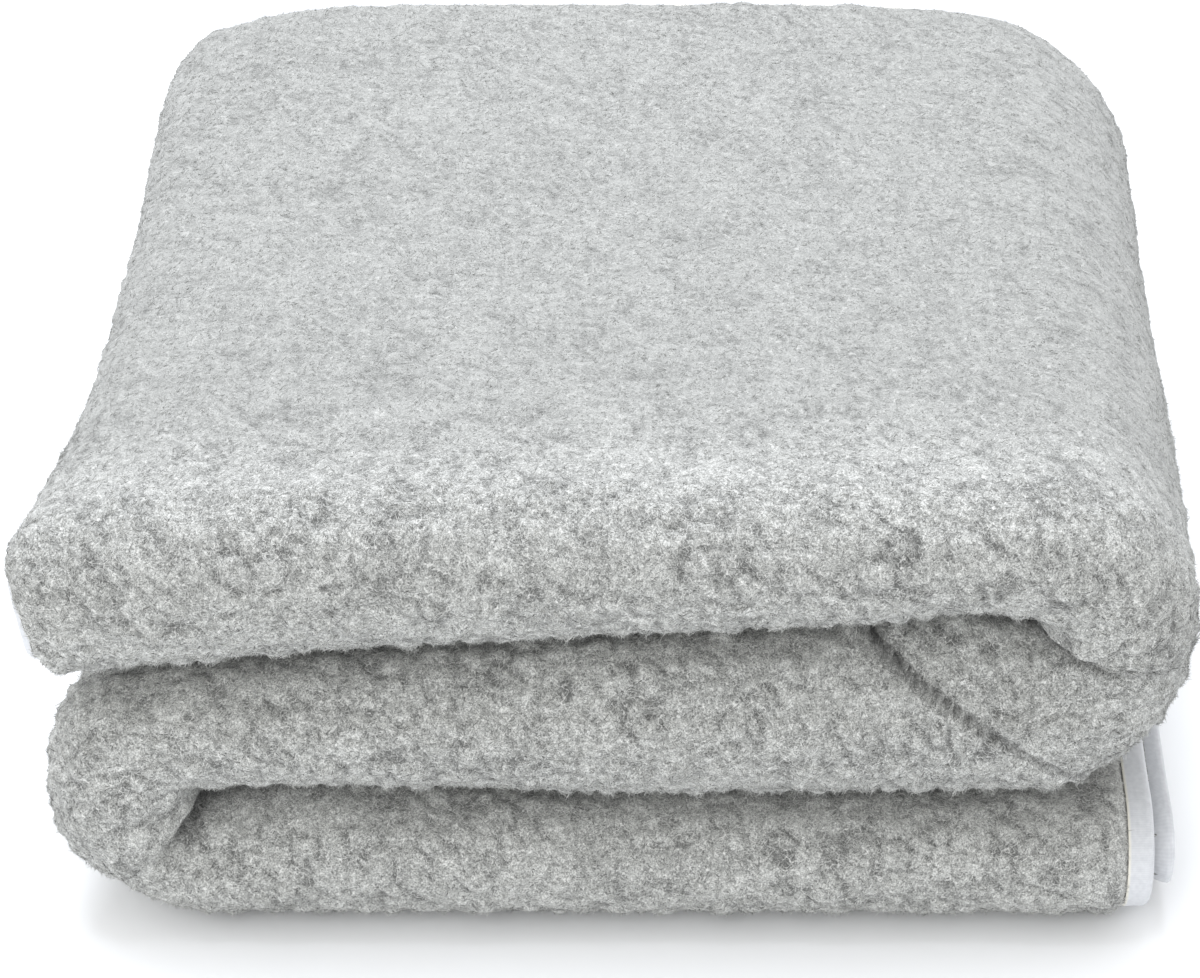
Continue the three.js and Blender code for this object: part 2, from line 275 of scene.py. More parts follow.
@dataclass(frozen=True)
class Tuck:
    """A place where the front is pushed in between creases, and how far back that reaches."""

    reach: float
    creases: tuple[Crease, ...]


TUCKS = (
    Tuck(130, (
        Crease((100, 151), (165, 106), recess=(6, 1), groove=(4, 2), edge=2.2, width=5.5, fade=65),
        Crease((242, 139), (166, 155), recess=(0, 6), groove=(3, 8), edge=3, width=7),
        Crease((168, 155), (88, 152)),
    )),
    Tuck(90, (
        Crease((-120, 72), (-170, 68), recess=(4, 8), groove=(0, 5), edge=5),
        Crease((-170, 68), (-197, 46), recess=(4, 0), groove=(8, 0), edge=5, width=14),
        Crease((-112, 10), (-112, 70), edge=36),
    )),
)


def smoothstep(at: Array, low: float, high: float) -> Array:
    """Rises smoothly from 0 at low to 1 at high."""
    share = np.clip((at - low) / (high - low), 0.0, 1.0)
    return share * share * (3 - 2 * share)


def lerp(start: Array | float, end: Array | float, share: Array | float) -> Array | float:
    """Goes from start to end as share goes from 0 to 1."""
    return start + (end - start) * share


def smooth_column(table: Array, column: int) -> Callable[[Array], Array]:
    """Makes a smooth curve through one column of a table.

    Args:
        table: rows of numbers, the first column rising.
        column: the column to follow.

    Returns:
        A function of the first column's value, held within the table's ends.
    """
    place, value = table[:, 0].astype(float), table[:, column].astype(float)
    start, end = place[:-1], place[1:]
    before, after = np.r_[end[0], place[:-2]], np.r_[place[2:], start[-1]]
    value_before, value_after = np.r_[value[1], value[:-2]], np.r_[value[2:], value[-2]]
    weight_before = (end - start) / 2 / (start - before)
    weight_after = (end - start) / 2 / (after - end)

    def evaluate(at: Array) -> Array:
        """Follows the curve.

        Args:
            at: values of the first column.

        Returns:
            The curve's height there.
        """
        at = np.clip(at, place[0], place[-1])
        i = np.clip(np.searchsorted(place, at, side="right") - 1, 0, len(start) - 1)
        p = (at - start[i]) / (end[i] - start[i])
        wb, wa = weight_before[i], weight_after[i]
        return (
            (-wb * p**3 + 2 * wb * p**2 - wb * p) * value_before[i]
            + ((1 + wb) * p**3 + (-1.5 - 2 * wb) * p**2 + (-0.5 + wb) * p + 1) * value[i]
            + ((-1 - wa) * p**3 + (1.5 + wa) * p**2 + 0.5 * p) * value[i + 1]
            + (wa * p**3 - wa * p**2) * value_after[i]
        )

    return evaluate


@dataclass(frozen=True)
class SectionPlace:
    """Where places along the cloth's length lie in a bundle's section.

    They lie back and up from the bundle's middle, and the outer face looks back and up. Curl is the
    share that they have of the left end's curl, and reach that of the inner layers' reach.
    """

    back: Array
    up: Array
    face_back: Array
    face_up: Array
    curl: Array
    reach: Array


class Stretch(IntEnum):
    """The stretches of a bundle's section, along the cloth from its upper back edge."""

    UPPER_RUN = 0
    FRONT_FOLD = 1
    LOWER_RUN = 2
    BACK_FOLD = 3
    INNER_LOWER_RUN = 4
    INNER_FOLD = 5
    INNER_UPPER_RUN = 6


class Folding:
    """Lays the flat cloth on its folds: a place is a distance across, one along, and one out.

    Its parts are the distances along at which the stretches start, and the whole length.
    """

    def __init__(self, sizes: StackSizes) -> None:
        """Prepares the section and the curves of the uneven stack.

        Args:
            sizes: the stack's sizes.
        """
        self.sizes = sizes
        self.lower_slit, self.upper_slit, self.top, self.back_top = (
            smooth_column(HEIGHTS, column) for column in range(1, 5)
        )
        self.left_shift, self.right_shift = smooth_column(SIDES, 1), smooth_column(SIDES, 2)
        self.setback, self.bulge = smooth_column(FRONTS, 1), smooth_column(FRONTS, 2)
        fold, back = math.pi * sizes.outer_radius, math.pi * sizes.inner_radius
        run, inner_run = sizes.depth / 2 - sizes.front_centre, sizes.back_centre - sizes.front_centre
        lengths = (run, fold, inner_run, back, inner_run, back, run)
        self.parts = np.concatenate([[0.0], np.cumsum(lengths)])

    @property
    def length(self) -> float:
        """Length of the whole section, which is the flat cloth's length."""
        return float(self.parts[-1])

    def section(self, along: Array, spread: Array) -> SectionPlace:
        """Finds places in a bundle's section.

        Args:
            along: distance along the cloth from its upper back edge.
            spread: how far the inner layers have moved towards the outer ones.

        Returns:
            The places, with the way the cloth's outer face looks there.
        """
        s = self.sizes
        part = np.clip(np.searchsorted(self.parts, along, side="right") - 1, 0, len(Stretch) - 1)
        share = (along - self.parts[part]) / (self.parts[part + 1] - self.parts[part])
        inner = s.inner_radius + spread
        back_height, back_radius = -(s.outer_radius + inner) / 2, (s.outer_radius - inner) / 2
        runs = {
            Stretch.UPPER_RUN: (s.depth / 2, s.front_centre, s.outer_radius, 1.0),
            Stretch.LOWER_RUN: (s.front_centre, s.back_centre, -s.outer_radius, -1.0),
            Stretch.INNER_LOWER_RUN: (s.back_centre, s.front_centre, -inner, 1.0),
            Stretch.INNER_UPPER_RUN: (s.front_centre, s.depth / 2, inner, -1.0),
        }
        folds = {
            Stretch.FRONT_FOLD: (s.front_centre, 0.0, s.outer_radius, -1.0, share, 1.0),
            Stretch.BACK_FOLD: (s.back_centre, back_height, back_radius, 1.0, 1 - share, 1.0),
            Stretch.INNER_FOLD: (s.front_centre, 0.0, inner, -1.0, 1 - share, -1.0),
        }
        back, up, face_back, face_up = (np.zeros_like(share) for _ in range(4))
        for stretch, (start, end, height, side) in runs.items():
            here = part == stretch
            back, up = np.where(here, lerp(start, end, share), back), np.where(here, height, up)
            face_up = np.where(here, side, face_up)
        for stretch, (centre, height, radius, way, turned, side) in folds.items():
            here = part == stretch
            out_back, out_up = way * np.sin(math.pi * turned), np.cos(math.pi * turned)
            back = np.where(here, centre + radius * out_back, back)
            up = np.where(here, height + radius * out_up, up)
            face_back = np.where(here, side * out_back, face_back)
            face_up = np.where(here, side * out_up, face_up)
        curl = np.where(part == Stretch.FRONT_FOLD, 1 - share * share, 0.0)
        curl = np.where(part == Stretch.UPPER_RUN, 1.0, curl)
        reach = np.where(part == Stretch.BACK_FOLD, smoothstep(share, 0.0, 1.0), 0.0)
        reach = np.where(part > Stretch.BACK_FOLD, 1.0, reach)
        return SectionPlace(back, up, face_back, face_up, curl, reach)

    def spread(self, inset: Array) -> Array:
        """Finds how far the inner layers have spread.

        Args:
            inset: distances in from the right end.

        Returns:
            Their distances from where they lie elsewhere.
        """
        s = self.sizes

        def rise(run: Array | float) -> Array:
            """Bends, then goes on straight."""
            straight = s.spread_bend * (2 * run - s.spread_bend)
            return np.where(run < s.spread_bend, run * run, straight)

        run = s.spread_length - np.clip(inset, 0, s.spread_length)
        return s.inner_spread * rise(run) / rise(s.spread_length)

    def lie_along(self, across: Array, curl: Array, reach: Array) -> tuple[Array, Array, Array]:
        """Finds where the cloth lies on the bundles' middle line.

        Args:
            across: distance across the cloth from the top bundle's left end.
            curl: share of the left end's curl that the place has.
            reach: share of the inner layers' reach that the place has.

        Returns:
            The length along the line, how far the cloth has curled down, and its tilt.
        """
        s = self.sizes
        angle = s.curl_angle * curl
        start = s.curl_recess * (1 - curl) + s.curl_radius * np.sin(angle) + s.tape_end * np.cos(angle)

        def curled_length(inset: Array) -> tuple[Array, Array, Array]:
            """Finds where the curled left end lies.

            Args:
                inset: distances in from the top bundle's left end.

            Returns:
                The length along the line, how far it has curled down, and its tilt.
            """
            curled = s.tape_end + s.curl_radius * angle - inset
            tilt = np.clip(curled / s.curl_radius, 0, angle)
            hanging = np.maximum(curled - s.curl_radius * angle, 0)
            length = start - s.curl_radius * np.sin(tilt) - hanging * np.cos(tilt) - np.minimum(curled, 0)
            return length, s.curl_radius * (1 - np.cos(tilt)) + hanging * np.sin(tilt), tilt

        free = s.curl_length
        length, drop, tilt = curled_length(np.minimum(across, free))
        blend = np.clip((across - free) / (s.curl_end - free), 0, 1)
        length = np.where(across > free, lerp(length, s.curl_end, blend), length)
        length = np.where(across > s.curl_end, across, length)
        ramp = np.clip((across - (s.path_length - s.spread_length)) / s.reach_ramp, 0, 1)
        return length + s.inner_reach * reach * ramp, drop, tilt

    def bundle_line(self, length: Array) -> tuple[Array, ...]:
        """Follows the middle line of the bundles.

        Args:
            length: length along it from the top bundle's left end.

        Returns:
            Its place across and up, its direction, and the way to the bundle's upper side.
        """
        s = self.sizes
        top, pitch = s.stack_height - s.half_bundle, s.bundle_pitch
        first = np.clip((length - s.top_run) / s.turn_radius, 0, math.pi)
        second = np.clip((length - s.middle_end) / s.turn_radius, 0, math.pi)
        x = np.minimum(length, s.top_run) - s.width / 2
        x = x - np.clip(length - s.middle_start, 0, s.middle_end - s.middle_start)
        x = x + np.maximum(length - s.lower_start, 0)
        x = x + s.turn_radius * (np.sin(first) - np.sin(second))
        z = top - pitch * (1 - np.cos(first)) / 2 - pitch * (1 - np.cos(second)) / 2
        angle = first - second
        return x, z, np.cos(angle), -np.sin(angle), np.sin(angle), np.cos(angle)

    @staticmethod
    def tuck(tuck: Tuck, x: Array, z: Array) -> tuple[Array, Array]:
        """Follows a tuck on the front.

        Args:
            tuck: the tuck.
            x: places across.
            z: heights.

        Returns:
            How far it pushes the front back, and 1 in its grooves, falling to 0 beside them.
        """
        depth, inside, groove = np.zeros_like(x), np.ones_like(x), np.zeros_like(x)
        for crease in tuck.creases:
            dx, dz = crease.end[0] - crease.start[0], crease.end[1] - crease.start[1]
            from_x, from_z, length = x - crease.start[0], z - crease.start[1], math.hypot(dx, dz)
            run = np.clip((dx * from_x + dz * from_z) / length**2, 0, 1)
            side = (dx * from_z - dz * from_x) / length
            within = 1 - smoothstep(side, crease.edge, crease.width)
            depth = depth + lerp(*crease.recess, run) * (1 - smoothstep(side, crease.edge, crease.fade))
            depth = depth + lerp(*crease.groove, run) * within
            groove = np.maximum(groove, lerp(*crease.groove, run) / max(*crease.groove, 1) * within)
            inside = inside * smoothstep(side, 0, crease.edge)
        return depth * inside, groove * inside

    def groove(self, points: Array) -> Array:
        """Finds how deep points lie in the front's grooves.

        Args:
            points: points of the folded blanket, one a row.

        Returns:
            1 in the grooves, falling to 0 beside and behind them.
        """
        s = self.sizes
        across, behind = points[:, 0] + s.middle_x, points[:, 1] + s.middle_y + s.depth / 2
        shares = [self.tuck(tuck, across, points[:, 2])[1] for tuck in TUCKS]
        return np.max(shares, axis=0) * (1 - smoothstep(behind, s.groove_start, s.groove_end))

    def settle(self, x: Array, y: Array, z: Array) -> Array:
        """Moves points of the even stack to where the uneven stack has them.

        Args:
            x: places across.
            y: places back.
            z: heights.

        Returns:
            The points, one a row.
        """
        s = self.sizes
        half_gap = s.bundle_gap / 2
        levels = np.array([0, s.bundle_pitch - half_gap, 2 * s.bundle_pitch - half_gap, s.stack_height])
        heights = np.stack([np.zeros_like(x), self.lower_slit(x), self.upper_slit(x), self.top(x)])
        bundle = (z >= levels[1]).astype(int) + (z >= levels[2])
        place = np.arange(len(x))
        share = (z - levels[bundle]) / (levels[bundle + 1] - levels[bundle])
        droop = (1 - self.back_top(x) / self.top(x)) * smoothstep(y, 0, s.depth / 2) ** 2
        height = lerp(heights[bundle, place], heights[bundle + 1, place], share) * (1 - droop)
        bulge = self.bulge(height) * (1 - smoothstep(x + s.width / 2, 0, s.bulge_reach))
        across = x + lerp(self.left_shift(y), self.right_shift(y), x / s.width + 0.5) - bulge
        behind = y + s.depth / 2
        back = y + self.setback(height) * (1 - behind / s.depth)
        for tuck in TUCKS:
            back = back + self.tuck(tuck, across, height)[0] * (1 - smoothstep(behind, 0, tuck.reach))
        return np.stack([across - s.middle_x, back - s.middle_y, height], axis=1)

    def points(self, across: Array, along: Array, out: Array) -> Array:
        """Finds points of the folded blanket.

        Args:
            across: distances across the cloth from the top bundle's left end.
            along: distances along the cloth from its upper back edge.
            out: distances from the middle of the cloth towards its outer face.

        Returns:
            The points, one a row, in millimetres.
        """
        s = self.sizes
        across, along, out = (np.asarray(v, float).ravel() for v in np.broadcast_arrays(across, along, out))
        place = self.section(along, self.spread(s.path_length - across))
        length, drop, tilt = self.lie_along(across, place.curl, place.reach)
        x, z, along_x, along_z, up_x, up_z = self.bundle_line(length)
        moved = out * np.cos(tilt) - drop
        rise, slide = place.up + moved * place.face_up, -out * np.sin(tilt)
        return self.settle(
            x + up_x * rise + along_x * slide,
            place.back + moved * place.face_back,
            z + up_z * rise + along_z * slide,
        )


@dataclass(frozen=True)
class ClumpPlace:
    """Where places on the cloth lie in their clumps of pile.

    Each has the way to its knob's middle, how far up the knob's crest it is, and the knob's size.
    """

    # How many times the crest is steepened where light is judged, which makes the valleys narrow
    STEEPENED = 2.2

    way: Array
    crest: Array
    size: Array

    @property
    def lit(self) -> Array:
        """Gives 1 on the knobs, and less in the narrow valleys round the larger ones: the painted shade in
        those valleys.
        """
        return 1 - self.size**2 * (1 - np.sqrt(np.minimum(self.STEEPENED * self.crest, 1)))


class Clumps:
    """Knobs of curled pile, one to a cell of a jittered grid in space.

    Because the grid is in space, the knobs stay round on every fold.
    """

    # Cells along each side of the block of knobs that repeats
    CELLS = 41
    # The share of its cell by which a knob strays at most
    JITTER = 0.9
    # The smallest and the largest knob
    SIZES = (0.4, 1.0)
    # How much a knob's top falls away, and at what share of the pitch it has fallen by all of it
    DOME_DROP, DOME_REACH = 0.4, 0.8

    def __init__(self, pitch: float, seed: int, valley: float = 0.5) -> None:
        """Scatters the knobs.

        Args:
            pitch: how far apart they are, in millimetres.
            seed: the seed of their unevenness.
            valley: the width of the valleys between them, as a share of the pitch.
        """
        rng = np.random.default_rng(seed)
        self.pitch, self.valley = pitch, valley
        grid = (self.CELLS,) * 3
        self.offsets = rng.uniform(-self.JITTER / 2, self.JITTER / 2, (*grid, 3))
        self.sizes = rng.uniform(*self.SIZES, grid)

    def around(self, places: Array) -> ClumpPlace:
        """Finds the knob that each place belongs to.

        Args:
            places: points on the cloth, one a row.

        Returns:
            The way to the knob's middle, how far up its crest the place is, and the knob's size.
        """
        cell = np.floor(places / self.pitch).astype(int)
        nearest, second = np.full(len(places), 1e9), np.full(len(places), 1e9)
        way, size = np.zeros_like(places), np.zeros(len(places))
        for step in np.ndindex(3, 3, 3):
            at = cell + np.array(step) - 1
            i, j, k = (at % self.CELLS).T
            this_way = (at + 0.5 + self.offsets[i, j, k]) * self.pitch - places
            distance = np.sqrt((this_way**2).sum(axis=1))
            nearer = distance < nearest
            second = np.where(nearer, nearest, np.minimum(second, distance))
            way[nearer] = this_way[nearer]
            size = np.where(nearer, self.sizes[i, j, k], size)
            nearest = np.minimum(nearest, distance)
        edge = smoothstep((second - nearest) / self.pitch, 0, self.valley)
        dome = 1 - self.DOME_DROP * np.clip(nearest / (self.DOME_REACH * self.pitch), 0, 1) ** 2
        return ClumpPlace(way, edge * dome, size)


def make_piece(
    name: str, points: Array, faces: Sequence[Array], values: dict[str, Array] | None = None
) -> bpy.types.Object:
    """Makes a smooth-shaded mesh object at the origin.

    Args:
        name: the piece's name.
        points: its points in millimetres, one a row.
        faces: arrays of point numbers, one face a row, each array with faces of one size.
        values: numbers to store at the points, by attribute name.

    Returns:
        The new object.
    """
    mesh = bpy.data.meshes.new(name)
    sizes = np.concatenate([np.full(len(face), face.shape[1]) for face in faces])
    corners = np.concatenate([face.ravel() for face in faces]).astype(np.int32)
    mesh.vertices.add(len(points))
    mesh.vertices.foreach_set("co", (points * MM).astype(np.float32).ravel())
    mesh.loops.add(len(corners))
    mesh.loops.foreach_set("vertex_index", corners)
    mesh.polygons.add(len(sizes))
    mesh.polygons.foreach_set("loop_start", np.r_[0, np.cumsum(sizes)[:-1]].astype(np.int32))
    mesh.update(calc_edges=True)
    mesh.validate()
    mesh.shade_smooth()
    for key, numbers in (values or {}).items():
        mesh.attributes.new(key, "FLOAT", "POINT").data.foreach_set("value", numbers.astype(np.float32))
    piece = bpy.data.objects.new(name, mesh)
    bpy.context.scene.collection.objects.link(piece)
    return piece


def graded(stops: Sequence[float], pitches: Sequence[float]) -> Array:
    """Spaces places from the first stop to the last.

    Args:
        stops: places that are all kept, in order.
        pitches: about how far apart places are between each stop and the next.

    Returns:
        The places.
    """
    places = [np.array([stops[0]])]
    for start, end, pitch in zip(stops, stops[1:], pitches):
        count = max(1, round((end - start) / pitch))
        places.append(np.linspace(start, end, count + 1)[1:])
    return np.concatenate(places)


@dataclass
class PileCloth:
    """The blanket's one sheet: base cloth with knobs of pile, thin where the tape presses it.

    Lengths are in millimetres. The roots lie below the pile's own surface, which the fibres reach.
    """

    fold: Folding
    finish: "WoolPileFinish"
    knobs: Clumps = field(default_factory=lambda: Clumps(12.0, 11))
    swells: Clumps = field(default_factory=lambda: Clumps(38.0, 5, valley=0.8))
    knob_height: float = 2.8
    swell_height: float = 1.6
    # The share of the knobs' and swells' height that lies below the even cloth
    sunk_share: float = 0.4
    # The share of its relief that the pressed top keeps, and how far before and past the start of
    # the front fold it grows to all of it
    pressed_share: float = 0.6
    loosening: tuple[float, float] = (75.0, 40.0)
    # Half the cloth's thickness at its bare edge, and how deep the roots lie in the full pile
    half_edge: float = 1.5
    root_depth: float = 1.3
    # How far before and past the end of the front fold, the start of the back fold and the end of the
    # left turn the cloth comes to lie on the floor or leaves it, and how much it is pressed there
    floor_fades: tuple[tuple[float, float], ...] = ((16.0, 4.0), (4.0, 6.0), (14.0, 4.0))
    floor_press: float = 0.3
    # How far in from the bound edge the cloth starts, and where it is as thick as the tape presses it
    edge: float = 2.4
    pressed_end: float = 4.5
    # How far apart rows and columns are: where the face shows, where it is hidden, in the steps in
    # from the edges, on the back fold, on the inner fold, and at hidden bends
    pitch: float = 3.0
    hidden_pitch: float = 24.0
    lead_pitches: tuple[float, ...] = (9.0, 9.0, 1.0, 3.0)
    back_pitch: float = 4.0
    inner_pitch: float = 5.8
    bend_pitch: float = 6.4
    # Shares of those pitches on the top, on the front folds, at the right tuck and on flat hidden cloth
    top_share: float = 1.15
    front_share: float = 0.8
    tuck_share: float = 0.7
    flat_share: float = 0.8
    # How far before and past the start of the middle bundle the right tuck goes
    tuck_span: tuple[float, float] = (20.0, 95.0)
    # How far past a fold or turn, and in from the left and right end, hidden cloth still bends
    bend_margin: float = 4.0
    left_bend: float = 60.0
    right_bend: float = 36.0
    # How far past the front fold the cloth shows in the slits
    lip: float = 34.0
    # Between which distances from the edge the valleys' painted shade grows, and the even painted valley
    # shade (crest) that the inner face has
    valley_start: tuple[float, float] = (14.0, 17.0)
    inner_crest: float = 0.6

    def edge_distance(self, across: Array, along: Array) -> Array:
        """Finds how far places are from the nearest bound edge.

        Args:
            across: distances across the cloth.
            along: distances along the cloth.

        Returns:
            Their distances from it.
        """
        sides = np.minimum(across, self.fold.sizes.path_length - across)
        return np.minimum(sides, np.minimum(along, self.fold.length - along))

    def on_floor(self, across: Array, along: Array) -> Array:
        """Finds where the outer face lies on the floor.

        Args:
            across: distances across the cloth.
            along: distances along the cloth.

        Returns:
            1 on the floor, falling to 0 round it.
        """
        s, parts = self.fold.sizes, self.fold.parts
        starts = (parts[Stretch.LOWER_RUN], parts[Stretch.BACK_FOLD], s.lower_start)
        past_front, past_back, past_turn = (
            smoothstep(places, start - before, start + past)
            for places, start, (before, past) in zip((along, along, across), starts, self.floor_fades)
        )
        return past_front * (1 - past_back) * past_turn

    def surface(self, across: Array, along: Array) -> tuple[Array, ClumpPlace]:
        """Finds the outer face of the base cloth.

        Args:
            across: distances across the cloth.
            along: distances along the cloth.

        Returns:
            Its distance from the middle of the cloth, and the knobs there.
        """
        full, out = self.full_share(across, along), self.half_thickness(across, along)
        even = self.fold.points(across, along, out)
        knobs, swells = self.knobs.around(even), self.swells.around(even)
        relief = self.knob_height * (knobs.crest * knobs.size - self.sunk_share)
        relief = relief + self.swell_height * (swells.crest * swells.size - self.sunk_share)
        out = out + full * lerp(self.pressed_share, 1, self.looseness(along)) * relief
        flat = self.fold.sizes.pile_thickness / 2 - self.floor_press
        return lerp(out, flat, self.on_floor(across, along) * full), knobs

    def looseness(self, along: Array) -> Array:
        """Gives 0 on the top, which is pressed smooth, and 1 from the front fold on."""
        front, (before, past) = self.fold.parts[Stretch.FRONT_FOLD], self.loosening
        return smoothstep(along, front - before, front + past)

    def full_share(self, across: Array, along: Array) -> Array:
        """Finds how far the pile has risen from the tape's lip.

        Args:
            across: distances across the cloth.
            along: distances along the cloth.

        Returns:
            Shares from 0 at the lip to 1 where the pile is full.
        """
        s = self.fold.sizes
        rise = np.clip((self.edge_distance(across, along) - s.tape_end) / s.pile_rise, 0, 1)
        return np.sqrt(rise * (2 - rise))

    def half_thickness(self, across: Array, along: Array) -> Array:
        """Finds half the base cloth's thickness.

        Args:
            across: distances across the cloth.
            along: distances along the cloth.

        Returns:
            Distances from the middle of the cloth to its even face.
        """
        s = self.fold.sizes
        inset = self.edge_distance(across, along)
        share = np.clip((inset - self.edge) / (self.pressed_end - self.edge), 0, 1)
        pressed = lerp(self.half_edge, s.pressed_thickness / 2, share)
        return lerp(pressed, s.pile_thickness / 2 - self.root_depth, self.full_share(across, along))

    def hidden(self, across: Array, along: Array) -> Array:
        """Says where the outer face lies between layers or on the floor, out of sight.

        Args:
            across: distances across the cloth.
            along: distances along the cloth.

        Returns:
            True for the places out of sight.
        """
        s, parts = self.fold.sizes, self.fold.parts
        lower_face = (parts[Stretch.LOWER_RUN] + self.lip, parts[Stretch.BACK_FOLD] - 20)
        # From and to along, and from and to across: each ends some millimetres before the cloth shows
        stretches = (
            (parts[Stretch.INNER_LOWER_RUN] + 10, self.fold.length - 20, 20, s.path_length - 20),
            (20, parts[Stretch.FRONT_FOLD] - self.lip, s.middle_start + 24, s.path_length - 40),
            (*lower_face, 40, s.middle_end - 16),
            (*lower_face, s.lower_start + 10, s.path_length - 16),
        )
        inside = (
            (along > start) & (along < end) & (across > left) & (across < right)
            for start, end, left, right in stretches
        )
        return np.any(list(inside), axis=0)

    def places(self) -> tuple[Array, Array]:
        """Spaces the mesh's rows along the cloth and its columns across it.

        Returns:
            Distances along, and distances across.
        """
        s = self.fold.sizes
        lead = [self.edge, self.pressed_end, s.tape_end, s.tape_end + 1, s.tape_end + s.pile_rise]

        def spaced(length: float, stops: Sequence[float], pitches: Sequence[float]) -> Array:
            """Spaces places from edge to edge, closer by the edges.

            Args:
                length: distance between the edges.
                stops: places that are kept between the two leads.
                pitches: how far apart places are between those stops and the leads.

            Returns:
                The places.
            """
            ends = [length - place for place in reversed(lead)]
            pitches = [*self.lead_pitches, *pitches, *reversed(self.lead_pitches)]
            return graded([*lead, *stops, *ends], pitches)

        fine, coarse = self.pitch, self.hidden_pitch
        shown = (self.top_share * fine, self.front_share * fine, fine, self.back_pitch)
        rows = spaced(self.fold.length, self.fold.parts[1:-1], (*shown, coarse, self.inner_pitch, coarse))
        tuck = (s.middle_start - self.tuck_span[0], s.middle_start + self.tuck_span[1])
        return rows, spaced(s.path_length, tuck, (fine, self.tuck_share * fine, fine))

    def coarse_places(self) -> tuple[Array, Array]:
        """Picks the rows and columns that hidden faces and the inner face have.

        Returns:
            The rows' numbers, and the columns'.
        """
        s, parts, margin = self.fold.sizes, self.fold.parts, self.bend_margin
        rows, columns = self.places()
        folds = [
            (parts[bend] - margin, parts[bend + 1] + margin)
            for bend in (Stretch.FRONT_FOLD, Stretch.BACK_FOLD, Stretch.INNER_FOLD)
        ]
        turns = (
            (0, self.left_bend),
            (s.top_run - margin, s.middle_start + margin),
            (s.middle_end - margin, s.lower_start + margin),
            (s.path_length - self.right_bend, s.path_length),
        )

        def picked(places: Array, bends: Sequence[tuple[float, float]]) -> Array:
            """Picks places that lie close round the bends and far apart elsewhere.

            Args:
                places: all places, in order.
                bends: where each bend starts and ends.

            Returns:
                The picked places' numbers, with the first and the last.
            """
            numbers = [0]
            for number in range(1, len(places)):
                bent = any(start < places[number] < end for start, end in bends)
                least = self.bend_pitch if bent else self.flat_share * self.hidden_pitch
                if places[number] - places[numbers[-1]] > least:
                    numbers.append(number)
            return np.unique([*numbers, len(places) - 1])

        return picked(rows, folds), picked(columns, turns)

    def build(self) -> bpy.types.Object:
        """Builds the sheet as one closed mesh, its knobs on the outer face.

        Returns:
            The new object.
        """
        rows, columns = self.places()
        coarse_rows, coarse_columns = self.coarse_places()
        along, across = np.meshgrid(rows, columns, indexing="ij")
        coarse = np.ix_(coarse_rows, coarse_columns)
        hidden = self.hidden(across, along)[coarse]
        hidden = hidden[:-1, :-1] & hidden[1:, :-1] & hidden[:-1, 1:] & hidden[1:, 1:]
        kept, fine = np.zeros(along.shape, bool), np.zeros(along.shape, bool)
        kept[coarse] = True
        for i, j in zip(*np.nonzero(~hidden)):
            (top, bottom), (left, right) = coarse_rows[i:i + 2], coarse_columns[j:j + 2]
            kept[top:bottom + 1, left:right + 1] = True
            fine[top:bottom, left:right] = True
        outer_grid = np.where(kept, np.cumsum(kept.ravel()).reshape(kept.shape) - 1, -1)
        out, knobs = self.surface(across[kept], along[kept])
        outer = self.fold.points(across[kept], along[kept], out)
        in_across, in_along = across[coarse].ravel(), along[coarse].ravel()
        inner = self.fold.points(in_across, in_along, -self.half_thickness(in_across, in_along))
        inner_grid = len(outer) + np.arange(len(inner)).reshape(len(coarse_rows), len(coarse_columns))
        points = np.concatenate([outer, inner])
        points[:, 2] = np.maximum(points[:, 2], FLOOR_GAP)
        faces = [
            self.quads(outer_grid)[fine[:-1, :-1].ravel()],
            self.quads(inner_grid)[:, ::-1],
            *self.hidden_faces(outer_grid, coarse_rows, coarse_columns, hidden),
            *self.rim_faces(outer_grid, inner_grid, coarse_rows, coarse_columns),
        ]
        # Painted shade in the valleys between knobs (crest), which the margin by the tape goes without; the
        # inner face has an even painted shade
        margin = 1 - smoothstep(self.edge_distance(across[kept], along[kept]), *self.valley_start)
        values = {
            "crest": np.r_[np.maximum(knobs.lit, margin), np.full(len(inner), self.inner_crest)],
            # The material paints the top's shade and its lower contrast from this
            "loose": np.r_[self.looseness(along[kept]), np.ones(len(inner))],
            # Painted shade in the grooves
            "groove": np.r_[self.fold.groove(outer), np.zeros(len(inner))],
        }
        piece = make_piece("wool_pile_sheet", points, faces, values)
        piece.data.materials.append(self.finish.build())
        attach(piece, "root")
        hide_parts("pile_cloth")
        return piece

    @staticmethod
    def quads(grid: Array) -> Array:
        """Gives the four-sided faces of a grid of point numbers."""
        corners = (grid[:-1, :-1], grid[1:, :-1], grid[1:, 1:], grid[:-1, 1:])
        return np.stack([corner.ravel() for corner in corners], axis=1)

    @staticmethod
    def hidden_faces(grid: Array, rows: Array, columns: Array, hidden: Array) -> list[Array]:
        """Gives one face for each hidden cell, through the points that its neighbours have.

        Args:
            grid: the outer face's point numbers, -1 where it has no point.
            rows: numbers of the rows between the cells.
            columns: numbers of the columns between the cells.
            hidden: which cells are hidden.

        Returns:
            An array of one face for each.
        """
        faces = []
        for i, j in zip(*np.nonzero(hidden)):
            cell = grid[rows[i]:rows[i + 1] + 1, columns[j]:columns[j + 1] + 1]
            ring = np.concatenate([cell[:-1, 0], cell[-1, :-1], cell[:0:-1, -1], cell[0, :0:-1]])
            faces.append(ring[ring >= 0][None])
        return faces

